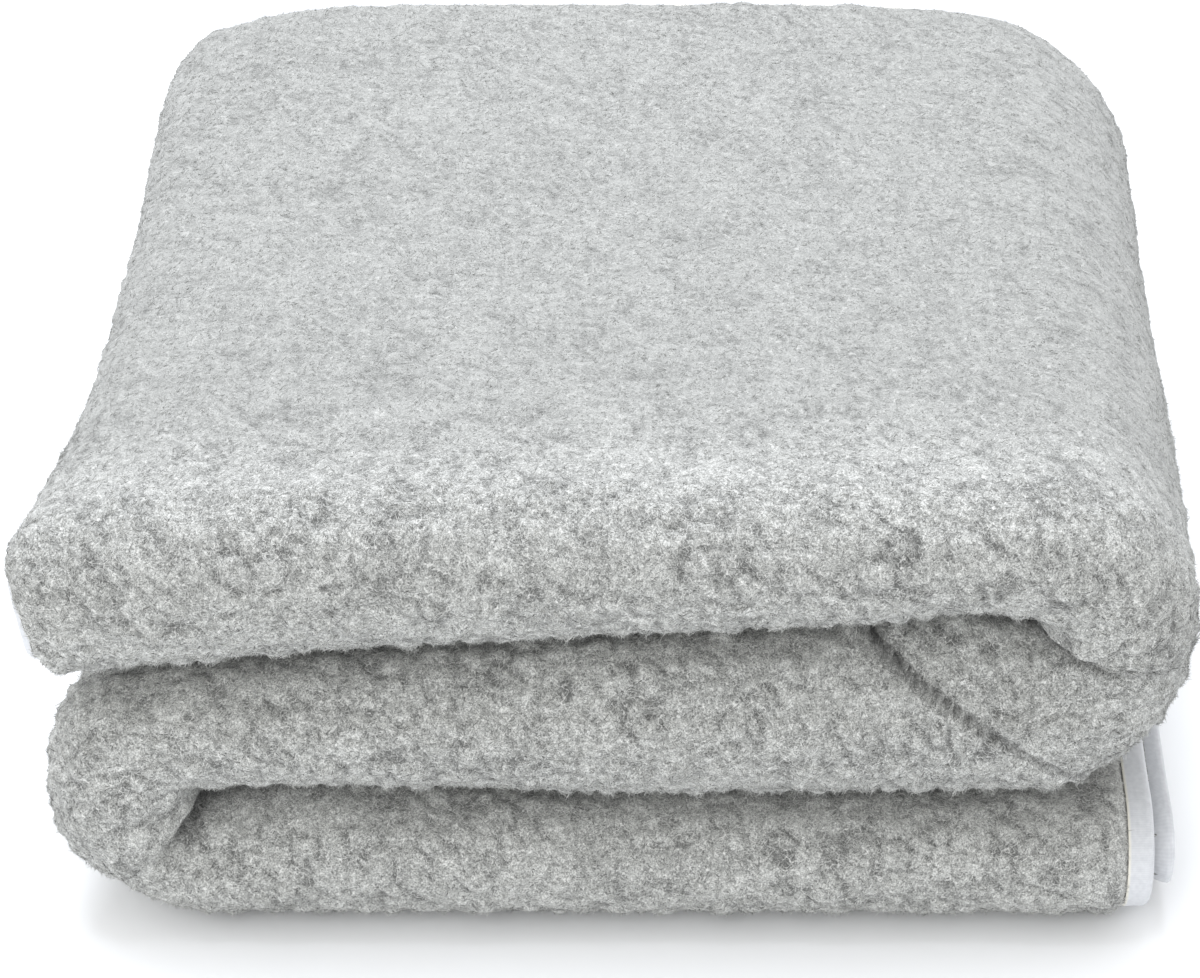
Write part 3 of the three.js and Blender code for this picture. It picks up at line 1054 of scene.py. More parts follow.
    @staticmethod
    def rim_faces(outer: Array, inner: Array, rows: Array, columns: Array) -> list[Array]:
        """Gives the faces along the sheet's four edges, which join its outer and inner face.

        Args:
            outer: the outer face's point numbers, -1 where it has no point.
            inner: the inner face's point numbers.
            rows: numbers of the outer rows that the inner face has.
            columns: numbers of the outer columns that the inner face has.

        Returns:
            An array of one face for each step of the inner face.
        """
        faces = []
        for edge, near, far in (
            (outer[0], inner[0], columns),
            (outer[-1, ::-1], inner[-1, ::-1], columns[-1] - columns[::-1]),
            (outer[::-1, 0], inner[::-1, 0], rows[-1] - rows[::-1]),
            (outer[:, -1], inner[:, -1], rows),
        ):
            for step, (start, end) in enumerate(zip(far, far[1:])):
                rim = edge[start:end + 1]
                faces.append(np.r_[rim[rim >= 0], near[step + 1], near[step]][None])
        return faces


class PileZone(Enum):
    """A stretch of the blanket whose fibres make one piece: its name, and how many fibres it has."""

    TOP = ("top", 49000)
    UPPER_FRONT = ("upper_front", 36000)
    MIDDLE_FRONT = ("middle_front", 34000)
    LOWER_FRONT = ("lower_front", 26000)
    TURNS = ("turns", 38000)


@dataclass(frozen=True)
class FibreKind:
    """One way that fibres stand: their share, how far they lean and rise, and their width.

    Lengths are in millimetres. Lean and rise are the least and the most.
    """

    share: float
    lean: tuple[float, float]
    rise: tuple[float, float]
    width: float


@dataclass
class PileFibres:
    """The wool fibres that stand on the cloth's outer face, where it shows.

    Lengths are in millimetres. Real fibres are 0.03 thick, and these are as thick as they need to
    be to show, and fewer.
    """

    cloth: PileCloth
    finish: "WoolFibreFinish"
    curls: Clumps = field(default_factory=lambda: Clumps(4.6, 31))
    kinds: tuple[FibreKind, ...] = (
        FibreKind(0.64, (1.6, 4.6), (0.3, 1.3), 0.36),
        FibreKind(0.33, (0.5, 2.6), (1.0, 2.3), 0.32),
        FibreKind(0.03, (1.0, 4.0), (2.2, 3.8), 0.24),
    )
    # How much of its curl's way a fibre leans, and how much of its knob's way counts beside that
    gather: float = 0.45
    knob_pull: float = 0.4
    # How far fibres at the tape lean over it, and how far in that ends
    lip_lean: float = 2.6
    lip_reach: float = 19.0
    # The shares of their rise that fibres have in a valley and on a crest, and of their width at
    # the least and the most
    rises: tuple[float, float] = (0.7, 1.1)
    widths: tuple[float, float] = (0.7, 1.2)
    # How deep roots lie in the cloth, and the least heights of roots and tips over the floor
    root_depth: float = 0.3
    root_height: float = 0.5
    tip_height: float = 0.3
    # The pressed top's share of unevenness, and the tone and crest that it is even about, both painted darker
    # than the fronts' as a painted shade on the top
    pressed_contrast: float = 0.34
    painted_top_shade_tone: float = 0.33
    pressed_crest: float = 0.55
    # The light between the curls, and the share of fibres that the grooves go without
    between_curls: float = 0.8
    groove_thinning: float = 0.9
    # How far past the front folds the lips and the turns' rims show
    lip: float = 32.0
    rim: float = 14.0
    # How far the cloth shows before the back fold, in from the left and right end, and at the floor
    back_span: float = 14.0
    left_span: float = 45.0
    right_span: float = 34.0
    floor_span: float = 2.0
    # How far out the cloth's area is measured, over what step its stretch is, and the least stretch
    measured_out: float = 8.0
    step: float = 0.5
    least_stretch: float = 0.35
    seed: int = 23

    def shown(self, across: Array, along: Array) -> tuple[Array, Array]:
        """Says how much the outer face shows, and in which zone.

        Args:
            across: distances across the cloth.
            along: distances along the cloth.

        Returns:
            Shares from 0 to 1, and numbers of zones.
        """
        s, parts = self.cloth.fold.sizes, self.cloth.fold.parts
        part = np.searchsorted(parts, along, side="right") - 1
        stretches = (Stretch.UPPER_RUN, Stretch.FRONT_FOLD, Stretch.LOWER_RUN)
        in_top, in_front, in_bottom = (part == stretch for stretch in stretches)
        top_bundle, right_turn = across < s.top_run, (across >= s.top_run) & (across < s.middle_start)
        left_turn = (across >= s.middle_end) & (across < s.lower_start)
        middle, lower = (across >= s.middle_start) & (across < s.middle_end), across >= s.lower_start
        from_front = np.where(in_top, parts[Stretch.FRONT_FOLD] - along, along - parts[Stretch.LOWER_RUN])
        by_back = in_bottom & (parts[Stretch.BACK_FOLD] - along < self.back_span)
        share = np.zeros_like(across)
        for weight, here in (
            # The back fold with the cloth just before it, and the left turn's outer face
            (0.35, (part == Stretch.BACK_FOLD) | by_back),
            (0.55, in_bottom & left_turn),
            # The faces that show at the top bundle's left end and the lower one's right end
            (0.4, in_bottom & top_bundle & (across < self.left_span)),
            (0.6, in_top & lower & (across > s.path_length - self.right_span)),
            # The middle bundle's upper lip and the left turn's front, then the rims of all lips
            (0.8, in_bottom & (middle | left_turn) & (from_front < self.lip)),
            (0.8, (in_bottom | in_top) & (from_front < self.rim) & ~(in_bottom & lower)),
            (0.5, in_bottom & lower & (from_front < self.floor_span)),
            # The right turn's outer face, the top and the front folds
            (0.8, in_top & right_turn),
            (1.0, (in_top & top_bundle) | in_front),
            # The cloth under the tape and right beside it
            (0.0, self.cloth.edge_distance(across, along) < s.tape_end + 1),
        ):
            share = np.where(here, weight, share)
        top, upper_front, middle_front, lower_front, turns = range(len(PileZone))
        fronts = np.where(across < s.middle_end, middle_front, lower_front)
        fronts = np.where(across < s.top_run + s.turn_length / 2, upper_front, fronts)
        lips = (in_bottom & ~left_turn) | (in_top & ~right_turn)
        zone = np.where(in_front | (lips & (from_front < self.lip)), fronts, turns)
        return share, np.where(in_top & top_bundle, top, zone)

    def build(self) -> list[bpy.types.Object]:
        """Builds one piece of fibres for each zone.

        Returns:
            The new objects.
        """
        rows, columns = self.cloth.places()
        middles = [(places[1:] + places[:-1]) / 2 for places in (rows, columns)]
        along, across = (grid.ravel() for grid in np.meshgrid(*middles, indexing="ij"))
        steps = np.meshgrid(np.diff(rows), np.diff(columns), indexing="ij")
        along_step, across_step = (grid.ravel() for grid in steps)
        share, zone = self.shown(across, along)
        here, right, back = self.surface_ways(across, along, np.full_like(across, self.measured_out))
        area = along_step * across_step * np.linalg.norm(np.cross(right, back), axis=1)
        area = area * (1 - self.groove_thinning * self.cloth.fold.groove(here))
        material = self.finish.build()
        pieces = []
        for number, stretch in enumerate(PileZone):
            name, count = stretch.value
            rng = np.random.default_rng(self.seed + number)
            weight = np.where(zone == number, share * area, 0)
            cells = rng.choice(len(weight), count, p=weight / weight.sum())
            place_across = across[cells] + across_step[cells] * rng.uniform(-0.5, 0.5, count)
            place_along = along[cells] + along_step[cells] * rng.uniform(-0.5, 0.5, count)
            piece = self.strands(f"wool_fibres_{name}", place_across, place_along, rng)
            piece.data.materials.append(material)
            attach(piece, "root")
            pieces.append(piece)
            log.info("%s: %d fibres on %.3f m2", piece.name, count, weight.sum() * MM**2)
        return pieces

    def surface_ways(self, across: Array, along: Array, out: Array) -> tuple[Array, Array, Array]:
        """Finds places, and how they move with each millimetre across and along.

        Args:
            across: distances across the cloth.
            along: distances along the cloth.
            out: distances out from the cloth's middle.

        Returns:
            The points, and their moves with each millimetre across and along.
        """
        fold, step = self.cloth.fold, self.step
        here = fold.points(across, along, out)
        right = (fold.points(across + step, along, out) - here) / step
        return here, right, (fold.points(across, along + step, out) - here) / step

    def strands(self, name: str, across: Array, along: Array, rng: np.random.Generator) -> bpy.types.Object:
        """Builds a zone's fibres, gathered in small curls on the knobs.

        Args:
            name: the piece's name.
            across: the roots' distances across the cloth.
            along: the roots' distances along the cloth.
            rng: the source of their unevenness.

        Returns:
            The new object.
        """
        fold, count = self.cloth.fold, len(across)
        out, knobs = self.cloth.surface(across, along)
        here, right, back = self.surface_ways(across, along, out)
        curls = self.curls.around(here)
        kind = rng.choice(len(self.kinds), count, p=[kind.share for kind in self.kinds])
        spans = np.array([[*kind.lean, *kind.rise, kind.width] for kind in self.kinds])[kind]
        lean, heading = rng.uniform(spans[:, 0], spans[:, 1]), rng.uniform(0, 2 * math.pi, count)
        pull = self.gather * (curls.way + self.knob_pull * knobs.way)
        stretches = (np.linalg.norm(way, axis=1) for way in (right, back))
        right_size, back_size = (np.maximum(stretch, self.least_stretch) for stretch in stretches)
        lean_right = lean * np.cos(heading) + (pull * right).sum(axis=1) / right_size
        lean_back = lean * np.sin(heading) + (pull * back).sum(axis=1) / back_size
        over_lip, lip_right, lip_back = self.over_lip(across, along)
        lean_right -= lip_right
        lean_back -= lip_back
        tip_across, tip_along = across + lean_right / right_size, along + lean_back / back_size
        tip_out, _ = self.cloth.surface(tip_across, tip_along)
        rise = rng.uniform(spans[:, 2], spans[:, 3]) * lerp(*self.rises, knobs.crest)
        root = fold.points(across, along, out - self.root_depth)
        tip = fold.points(tip_across, tip_along, tip_out + rise)
        root[:, 2] = np.maximum(root[:, 2], self.root_height)
        tip[:, 2] = np.maximum(tip[:, 2], self.tip_height)
        points, faces = self.tapered(root, tip, spans[:, 4], rng)
        # Painted shade: fibres in the valleys between knobs and between curls are darkened
        crest = knobs.lit * lerp(self.between_curls, 1.0, curls.crest)
        # Painted light: fibres that lean over the tape's lip are made paler the further they lean, over the
        # shaded gap at the lip
        tone = np.maximum(rng.uniform(0, 1, count), over_lip / self.lip_lean)
        # Painted shade on the top: its fibres are even about a darker tone and crest than the fronts'
        contrast = lerp(self.pressed_contrast, 1, self.cloth.looseness(along))
        corners = len(points) // count
        values = {
            "tone": np.repeat(lerp(self.painted_top_shade_tone, tone, contrast), corners),
            "crest": np.repeat(lerp(self.pressed_crest, crest, contrast), corners),
            # Painted shade in the grooves
            "groove": np.repeat(fold.groove(root), corners),
            # Painted shade towards the roots, and painted light towards the tips
            "toward_tip": np.tile([0.0, 0.0, 0.0, 1.0], count),
        }
        return make_piece(name, points, [faces], values)

    def over_lip(self, across: Array, along: Array) -> tuple[Array, Array, Array]:
        """Finds how far fibres by the tape lean over its lip.

        Args:
            across: the roots' distances across the cloth.
            along: the roots' distances along the cloth.

        Returns:
            How far they lean, and how far back across and along from the way in from the edge.
        """
        step, distance = 0.1, self.cloth.edge_distance
        edge = distance(across, along)
        lean = self.lip_lean * (1 - smoothstep(edge, self.cloth.fold.sizes.tape_end, self.lip_reach))
        lip_right = lean * (distance(across + step, along) - edge) / step
        return lean, lip_right, lean * (distance(across, along + step) - edge) / step

    def tapered(self, root: Array, tip: Array, width: Array, rng: np.random.Generator) -> tuple[Array, Array]:
        """Gives three-sided strands that taper from their roots to their tips.

        Args:
            root: the roots, one a row.
            tip: the tips, one a row.
            width: the strands' widths.
            rng: the source of their unevenness.

        Returns:
            The points, four to a strand with the tip last, and the faces.
        """
        count = len(root)
        way = tip - root
        way /= np.maximum(np.linalg.norm(way, axis=1, keepdims=True), 1e-6)
        side = np.cross(way, rng.normal(size=(count, 3)))
        side /= np.maximum(np.linalg.norm(side, axis=1, keepdims=True), 1e-6)
        third = np.cross(way, side)
        radius = (width / math.sqrt(3) * rng.uniform(*self.widths, count))[:, None]
        ring = [
            root + radius * (math.cos(angle) * side + math.sin(angle) * third)
            for angle in (0, 2 * math.pi / 3, 4 * math.pi / 3)
        ]
        points = np.stack([*ring, tip], axis=1).reshape(-1, 3)
        first = 4 * np.arange(count)[:, None]
        sides = ((0, 1, 3), (1, 2, 3), (2, 0, 3), (0, 2, 1))
        return points, np.concatenate([first + np.array([corners]) for corners in sides])


class BoundEdge(Enum):
    """An edge of the blanket that a tape binds, by its solid's node."""

    UPPER_END = "upper_end_tape"
    LOWER_END = "lower_end_tape"
    OUTER_SIDE = "outer_side_tape"
    INNER_SIDE = "inner_side_tape"


@dataclass
class BindingTape:
    """A woven tape folded round one edge. Lengths are in millimetres."""

    fold: Folding
    edge: BoundEdge
    finish: "WovenTapeFinish"
    end_pitch: float = 5.2
    side_pitch: float = 7.0
    # The woven edge's width, and steps round each wall's lip and round the tape's nose
    selvage: float = 1.0
    lip_steps: int = 3
    nose_steps: int = 6

    def profile(self) -> tuple[Array, Array]:
        """Draws the tape's section, its nose round the cloth's edge and its two lips on the cloth.

        Returns:
            Insets from the edge, and distances out from the cloth's middle.
        """
        s = self.fold.sizes
        outer, inner = s.tape_thickness / 2, s.tape_thickness / 2 - s.tape_wall
        turn = np.linspace(math.pi / 2, -math.pi / 2, self.nose_steps + 1)
        inner_turn = turn[::-2]
        lip = np.linspace(0, math.pi, self.lip_steps + 1)[1:-1]
        round_lip = s.tape_wall / 2
        lip_start = s.tape_width - round_lip
        runs = np.array([lip_start, lip_start - self.selvage, (lip_start + outer) / 2])
        lip_insets, lip_outs = lip_start + round_lip * np.sin(lip), round_lip - round_lip * np.cos(lip)
        insets = np.r_[
            runs, outer - outer * np.cos(turn), runs[::-1],
            lip_insets, lip_start, outer - inner * np.cos(inner_turn), lip_start, lip_insets,
        ]
        outs = np.r_[
            np.full(3, outer), outer * np.sin(turn), np.full(3, -outer),
            lip_outs - outer, -inner, inner * np.sin(inner_turn), inner, lip_outs + inner,
        ]
        return insets, outs

    def build(self) -> bpy.types.Object:
        """Sweeps the section along the edge.

        Returns:
            The new object.
        """
        s = self.fold.sizes
        insets, outs = self.profile()
        if self.edge in (BoundEdge.UPPER_END, BoundEdge.LOWER_END):
            path = graded([0, self.fold.length], [self.end_pitch])
        else:
            path = graded([s.tape_end, s.path_length - s.tape_end], [self.side_pitch])
        place = np.repeat(path, len(insets))
        inset, out = np.tile(insets, len(path)), np.tile(outs, len(path))
        points = {
            BoundEdge.UPPER_END: lambda: self.fold.points(inset, place, out),
            BoundEdge.LOWER_END: lambda: self.fold.points(s.path_length - inset, place, out),
            BoundEdge.OUTER_SIDE: lambda: self.fold.points(place, inset, out),
            BoundEdge.INNER_SIDE: lambda: self.fold.points(place, self.fold.length - inset, out),
        }[self.edge]()
        points[:, 2] = np.maximum(points[:, 2], FLOOR_GAP)
        grid = np.arange(len(points)).reshape(len(path), len(insets))
        grid = np.concatenate([grid, grid[:, :1]], axis=1)
        caps = [grid[0, :-1][None], grid[-1, -2::-1][None]]
        lip = (insets > s.tape_width - self.selvage).astype(float)
        values = {"selvage": np.tile(lip, len(path))}
        piece = make_piece(f"woven_{self.edge.value}", points, [PileCloth.quads(grid), *caps], values)
        around = np.cumsum(np.r_[0, np.hypot(np.diff(insets), np.diff(outs))])
        self.lay_weave(piece.data, place, np.tile(around, len(path)))
        self.face_outwards(piece.data)
        piece.data.materials.append(self.finish.build())
        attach(piece, "root")
        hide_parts(self.edge.value)
        log.info("%s: %d faces", piece.name, len(piece.data.polygons))
        return piece

    @staticmethod
    def lay_weave(mesh: bpy.types.Mesh, along: Array, around: Array) -> None:
        """Lays the tape's own map on it, in metres along the tape and round its section.

        Args:
            mesh: the tape's mesh.
            along: the points' distances along the tape, in millimetres.
            around: their distances round its section, in millimetres.
        """
        corners = np.empty(len(mesh.loops), dtype=np.int32)
        mesh.loops.foreach_get("vertex_index", corners)
        places = np.stack([along, around], axis=1)[corners] * MM
        layer = mesh.uv_layers.new(name="weave")
        layer.data.foreach_set("uv", places.astype(np.float32).ravel())

    @staticmethod
    def face_outwards(mesh: bpy.types.Mesh) -> None:
        """Turns the faces of a closed mesh outwards.

        Args:
            mesh: the mesh, which is changed in place.
        """
        shell = bmesh.new()
        shell.from_mesh(mesh)
        bmesh.ops.recalc_face_normals(shell, faces=shell.faces)
        shell.to_mesh(mesh)
        shell.free()


def linear(hex_colour: str) -> tuple[float, float, float, float]:
    """Turns an sRGB colour into a linear one.

    Args:
        hex_colour: the colour, such as "#d2d4d7".

    Returns:
        Its red, green, blue and alpha.
    """
    parts = (int(hex_colour[i:i + 2], 16) / 255 for i in (1, 3, 5))
    red, green, blue = (p / 12.92 if p <= 0.04045 else ((p + 0.055) / 1.055) ** 2.4 for p in parts)
    return red, green, blue, 1.0


def add_node(
    material: bpy.types.Material, kind: str, inputs: dict[str | int, object] | None = None, **settings: object
) -> bpy.types.Node:
    """Adds a shader node.

    Args:
        material: the material to add it to.
        kind: the node's type.
        inputs: what goes into its inputs, by name or number: an output socket to link, or a value.
        settings: its own properties.

    Returns:
        The new node.
    """
    tree = material.node_tree
    node = tree.nodes.new(kind)
    for key, value in settings.items():
        setattr(node, key, value)
    for key, value in (inputs or {}).items():
        if isinstance(value, bpy.types.NodeSocket):
            tree.links.new(value, node.inputs[key])
        else:
            node.inputs[key].default_value = value
    return node


def new_material(name: str) -> bpy.types.Material:
    """Makes an empty node material.

    Args:
        name: its name.

    Returns:
        The new material.
    """
    material = bpy.data.materials.new(name)
    material.use_nodes = True
    material.node_tree.nodes.clear()
    return material


def set_ramp(ramp: bpy.types.Node, stops: Sequence[tuple[float, str]]) -> None:
    """Sets a colour ramp's stops.

    Args:
        ramp: the ramp's node.
        stops: each stop's place and hex colour.
    """
    elements = ramp.color_ramp.elements
    while len(elements) < len(stops):
        elements.new(0.5)
    for element, (place, colour) in zip(elements, stops):
        element.position, element.color = place, linear(colour)


@dataclass(frozen=True)
class WoolPileFinish:
    """Heathered undyed wool, knitted and brushed: matt and light grey, with painted shade between the knobs,
    in the grooves and on the top.

    Pale and grey fibres are mixed before spinning, so the colour is speckled at the size of a
    few fibres, with single pale and dark hairs on it. Sizes are in millimetres.
    """

    dark: str = "#5a5b59"
    middle: str = "#adaeab"
    pale: str = "#d8d9d6"
    pale_hair: str = "#e9e9e6"
    dark_hair: str = "#747573"
    # Sizes of the speckle, the hairs' windings, the curls and the blotches
    speckle: float = 0.8
    hair_curl: float = 2.6
    curl: float = 4.0
    blotch: float = 30.0
    # How far from the middle of its noise a hair goes, and how much it covers there
    hair_width: float = 0.034
    hair_cover: float = 0.7
    # How much the speckle, the knobs' crests (painted shade in the valleys between knobs), the curls and the
    # blotches move the tone, and from where
    tone_weights: tuple[float, float, float, float] = (1.7, 0.5, 0.7, 0.2)
    tone_level: float = -1.78
    # The pressed top's share of contrast, its middle tone (painted darker than the loose pile's, a painted
    # shade on the top), the loose pile's, and the painted shade in grooves
    pressed_contrast: float = 0.42
    painted_top_shade_tone: float = 0.37
    loose_tone: float = 0.52
    groove_shade: float = 0.06
    # How much the speckle and the curls rise, as shares, and the height of the whole
    rises: tuple[float, float] = (0.5, 0.8)
    rise: float = 2.0

    def build(self) -> bpy.types.Material:
        """Builds the material.

        Returns:
            The new material.
        """
        material = new_material("heathered_brushed_wool")
        place = add_node(material, "ShaderNodeTexCoord").outputs["Object"]
        speckle, curl, blotch = (
            add_node(material, "ShaderNodeTexNoise", {
                "Vector": place, "Scale": 1 / (size * MM), "Detail": detail, "Roughness": 0.65,
            }).outputs["Fac"]
            for size, detail in ((self.speckle, 2.0), (self.curl, 1.0), (self.blotch, 1.0))
        )
        crest, loose = (
            add_node(material, "ShaderNodeAttribute", attribute_name=name).outputs["Fac"]
            for name in ("crest", "loose")
        )
        contrast = self.add_up(material, [(loose, 1 - self.pressed_contrast)], self.pressed_contrast)
        # The knobs' crest paints shade into the valleys between them
        weighted = zip((speckle, crest, curl, blotch), self.tone_weights)
        uneven = self.add_up(material, weighted, self.tone_level)
        # Painted shade on the top: its middle tone is darker than the fronts'
        middle = self.add_up(material, [(loose, self.loose_tone - self.painted_top_shade_tone)], self.painted_top_shade_tone)
        tone = add_node(material, "ShaderNodeMath", {
            0: uneven, 1: contrast, 2: middle,
        }, operation="MULTIPLY_ADD")
        ramp = add_node(material, "ShaderNodeValToRGB", {"Fac": tone.outputs[0]})
        set_ramp(ramp, ((0.05, self.dark), (0.5, self.middle), (0.85, self.pale)))
        hairs = add_node(material, "ShaderNodeTexNoise", {
            "Vector": place, "Scale": 1 / (self.hair_curl * MM), "Detail": 0.0,
        }).outputs["Color"]
        layers = add_node(material, "ShaderNodeSeparateColor", {"Color": hairs})
        colour = ramp.outputs["Color"]
        for layer, shade in (("Red", self.pale_hair), ("Green", self.dark_hair), ("Blue", self.dark_hair)):
            cover = self.hairs(material, layers.outputs[layer], contrast)
            colour = add_node(material, "ShaderNodeMix", {
                "Factor": cover, MIX_BELOW: colour, MIX_ON_TOP: linear(shade),
            }, data_type="RGBA").outputs[MIX_RESULT]
        # Painted shade in the grooves
        colour = self.paint_groove_shade(material, colour)
        height = self.add_up(material, zip((speckle, curl), self.rises), 0.0)
        bump = add_node(material, "ShaderNodeBump", {
            "Height": height, "Strength": 0.7, "Distance": self.rise * MM,
        })
        shader = add_node(material, "ShaderNodeBsdfPrincipled", {
            "Base Color": colour, "Normal": bump.outputs["Normal"], "Roughness": 0.95,
            "Specular IOR Level": 0.2, "Sheen Weight": 0.25, "Sheen Roughness": 0.6,
        })
        add_node(material, "ShaderNodeOutputMaterial", {"Surface": shader.outputs["BSDF"]})
        return material

    @staticmethod
    def add_up(
        material: bpy.types.Material, terms: Iterable[tuple[bpy.types.NodeSocket, float]], start: float
    ) -> bpy.types.NodeSocket:
        """Adds up sockets, each times its weight.

        Args:
            material: the material to add the sum to.
            terms: the sockets and their weights.
            start: the value to start from.

        Returns:
            A socket with the sum.
        """
        total: bpy.types.NodeSocket | float = start
        for socket, weight in terms:
            total = add_node(material, "ShaderNodeMath", {
                0: socket, 1: weight, 2: total,
            }, operation="MULTIPLY_ADD").outputs[0]
        return total

    def paint_groove_shade(self, material: bpy.types.Material, colour: bpy.types.NodeSocket) -> bpy.types.NodeSocket:
        """Paints shade into a colour where it lies deep in a groove.

        Args:
            material: the material to add the shade to.
            colour: the socket with the colour.

        Returns:
            A socket with the darkened colour.
        """
        groove = add_node(material, "ShaderNodeAttribute", attribute_name="groove").outputs["Fac"]
        shade = add_node(material, "ShaderNodeMath", {
            0: groove, 1: self.groove_shade - 1, 2: 1.0,
        }, operation="MULTIPLY_ADD")
        return add_node(material, "ShaderNodeMix", {
            "Factor": 1.0, MIX_BELOW: colour, MIX_ON_TOP: shade.outputs[0],
        }, data_type="RGBA", blend_type="MULTIPLY").outputs[MIX_RESULT]

    def hairs(
        self, material: bpy.types.Material, noise: bpy.types.NodeSocket, contrast: bpy.types.NodeSocket
    ) -> bpy.types.NodeSocket:
        """Draws thin winding hairs, where a noise passes its middle value.

        Args:
            material: the material to add them to.
            noise: the socket with the noise.
            contrast: the socket with the hairs' strength.

        Returns:
            A socket with the hairs' cover.
        """
        away = add_node(material, "ShaderNodeMath", {0: noise, 1: 0.5}, operation="SUBTRACT")
        away = add_node(material, "ShaderNodeMath", {0: away.outputs[0]}, operation="ABSOLUTE")
        cover = add_node(material, "ShaderNodeMapRange", {
            "Value": away.outputs[0], "From Max": self.hair_width, "To Min": self.hair_cover, "To Max": 0.0,
        })
        return add_node(material, "ShaderNodeMath", {
            0: cover.outputs["Result"], 1: contrast,
        }, operation="MULTIPLY").outputs[0]


@dataclass(frozen=True)
class WoolFibreFinish:
    """Loose wool fibre ends: soft and matt, from charcoal through grey to off-white.

    Each fibre has one shade and pales towards its tip, where light passes through it.
    """

    charcoal: str = "#5e5f5d"
    grey: str = "#b4b5b2"
    pale: str = "#dcddd9"
    white: str = "#f6f6f2"
    # The shares of their light that roots, fibres in valleys and fibres in grooves have
    root_shade: float = 0.78
    valley_shade: float = 0.3
    groove_shade: float = 0.14

    def build(self) -> bpy.types.Material:
        """Builds the material.

        Returns:
            The new material.
        """
        material = new_material("loose_wool_fibre")
        tone = add_node(material, "ShaderNodeAttribute", attribute_name="tone")
        ramp = add_node(material, "ShaderNodeValToRGB", {"Fac": tone.outputs["Fac"]})
        set_ramp(ramp, ((0.0, self.charcoal), (0.25, self.grey), (0.5, self.pale), (1.0, self.white)))
        shades = []
        for name, at_none, at_one in (
            ("toward_tip", self.root_shade, 1.0),
            ("crest", self.valley_shade, 1.0),
            ("groove", 1.0, self.groove_shade),
        ):
            value = add_node(material, "ShaderNodeAttribute", attribute_name=name)
            shades.append(add_node(material, "ShaderNodeMath", {
                0: value.outputs["Fac"], 1: at_one - at_none, 2: at_none,
            }, operation="MULTIPLY_ADD").outputs[0])
        shade = shades[0]
        for other in shades[1:]:
            both = add_node(material, "ShaderNodeMath", {0: shade, 1: other}, operation="MULTIPLY")
            shade = both.outputs[0]
        colour = add_node(material, "ShaderNodeMix", {
            "Factor": 1.0, MIX_BELOW: ramp.outputs["Color"], MIX_ON_TOP: shade,
        }, data_type="RGBA", blend_type="MULTIPLY")
        shader = add_node(material, "ShaderNodeBsdfPrincipled", {
            "Base Color": colour.outputs[MIX_RESULT], "Roughness": 0.9, "Specular IOR Level": 0.25,
            "Sheen Weight": 0.3, "Sheen Roughness": 0.5,
        })
        add_node(material, "ShaderNodeOutputMaterial", {"Surface": shader.outputs["BSDF"]})
        return material


@dataclass(frozen=True)
class WovenTapeFinish:
    """White cotton tape, woven in fine ribs across its length: smooth, soft white, slightly lustrous.

    The real ribs are 0.5 mm apart, too fine to show, and these are drawn twice as coarse. Sizes are
    in millimetres.
    """

    white: str = "#d2d4d7"
    shade: str = "#c3c5c9"
    selvage: str = "#e2dfd4"
    rib_pitch: float = 1.0
    rib_height: float = 0.12
    # How much the ribs move the tone, and the size of the threads' unevenness
    rib_tone: float = 0.15
    thread: float = 3.0

    def build(self) -> bpy.types.Material:
        """Builds the material, once for all tapes.

        Returns:
            The tapes' material.
        """
        made = bpy.data.materials.get("ribbed_cotton_tape")
        if made:
            return made
        material = new_material("ribbed_cotton_tape")
        place = add_node(material, "ShaderNodeUVMap", uv_map="weave").outputs["UV"]
        # A wave of scale 1 repeats each pi / 10 metres
        ribs = add_node(material, "ShaderNodeTexWave", {
            "Vector": place, "Scale": math.pi / 10 / (self.rib_pitch * MM), "Distortion": 0.3,
            "Detail": 1.0, "Detail Scale": 1.5,
        }, wave_type="BANDS", bands_direction="X", wave_profile="SIN")
        threads = add_node(material, "ShaderNodeTexNoise", {
            "Vector": place, "Scale": 1 / (self.thread * MM), "Detail": 2.0,
        })
        mixed = add_node(material, "ShaderNodeMath", {
            0: ribs.outputs["Fac"], 1: self.rib_tone, 2: threads.outputs["Fac"],
        }, operation="MULTIPLY_ADD")
        ramp = add_node(material, "ShaderNodeValToRGB", {"Fac": mixed.outputs[0]})
        set_ramp(ramp, ((0.35, self.shade), (0.85, self.white)))
        lip = add_node(material, "ShaderNodeAttribute", attribute_name="selvage")
        colour = add_node(material, "ShaderNodeMix", {
            "Factor": lip.outputs["Fac"], MIX_BELOW: ramp.outputs["Color"], MIX_ON_TOP: linear(self.selvage),
        }, data_type="RGBA")
        bump = add_node(material, "ShaderNodeBump", {
            "Height": ribs.outputs["Fac"], "Strength": 0.25, "Distance": self.rib_height * MM,
        })
        shader = add_node(material, "ShaderNodeBsdfPrincipled", {
            "Base Color": colour.outputs[MIX_RESULT], "Normal": bump.outputs["Normal"], "Roughness": 0.7,
            "Specular IOR Level": 0.35, "Sheen Weight": 0.15, "Sheen Roughness": 0.4,
        })
        add_node(material, "ShaderNodeOutputMaterial", {"Surface": shader.outputs["BSDF"]})
        return material


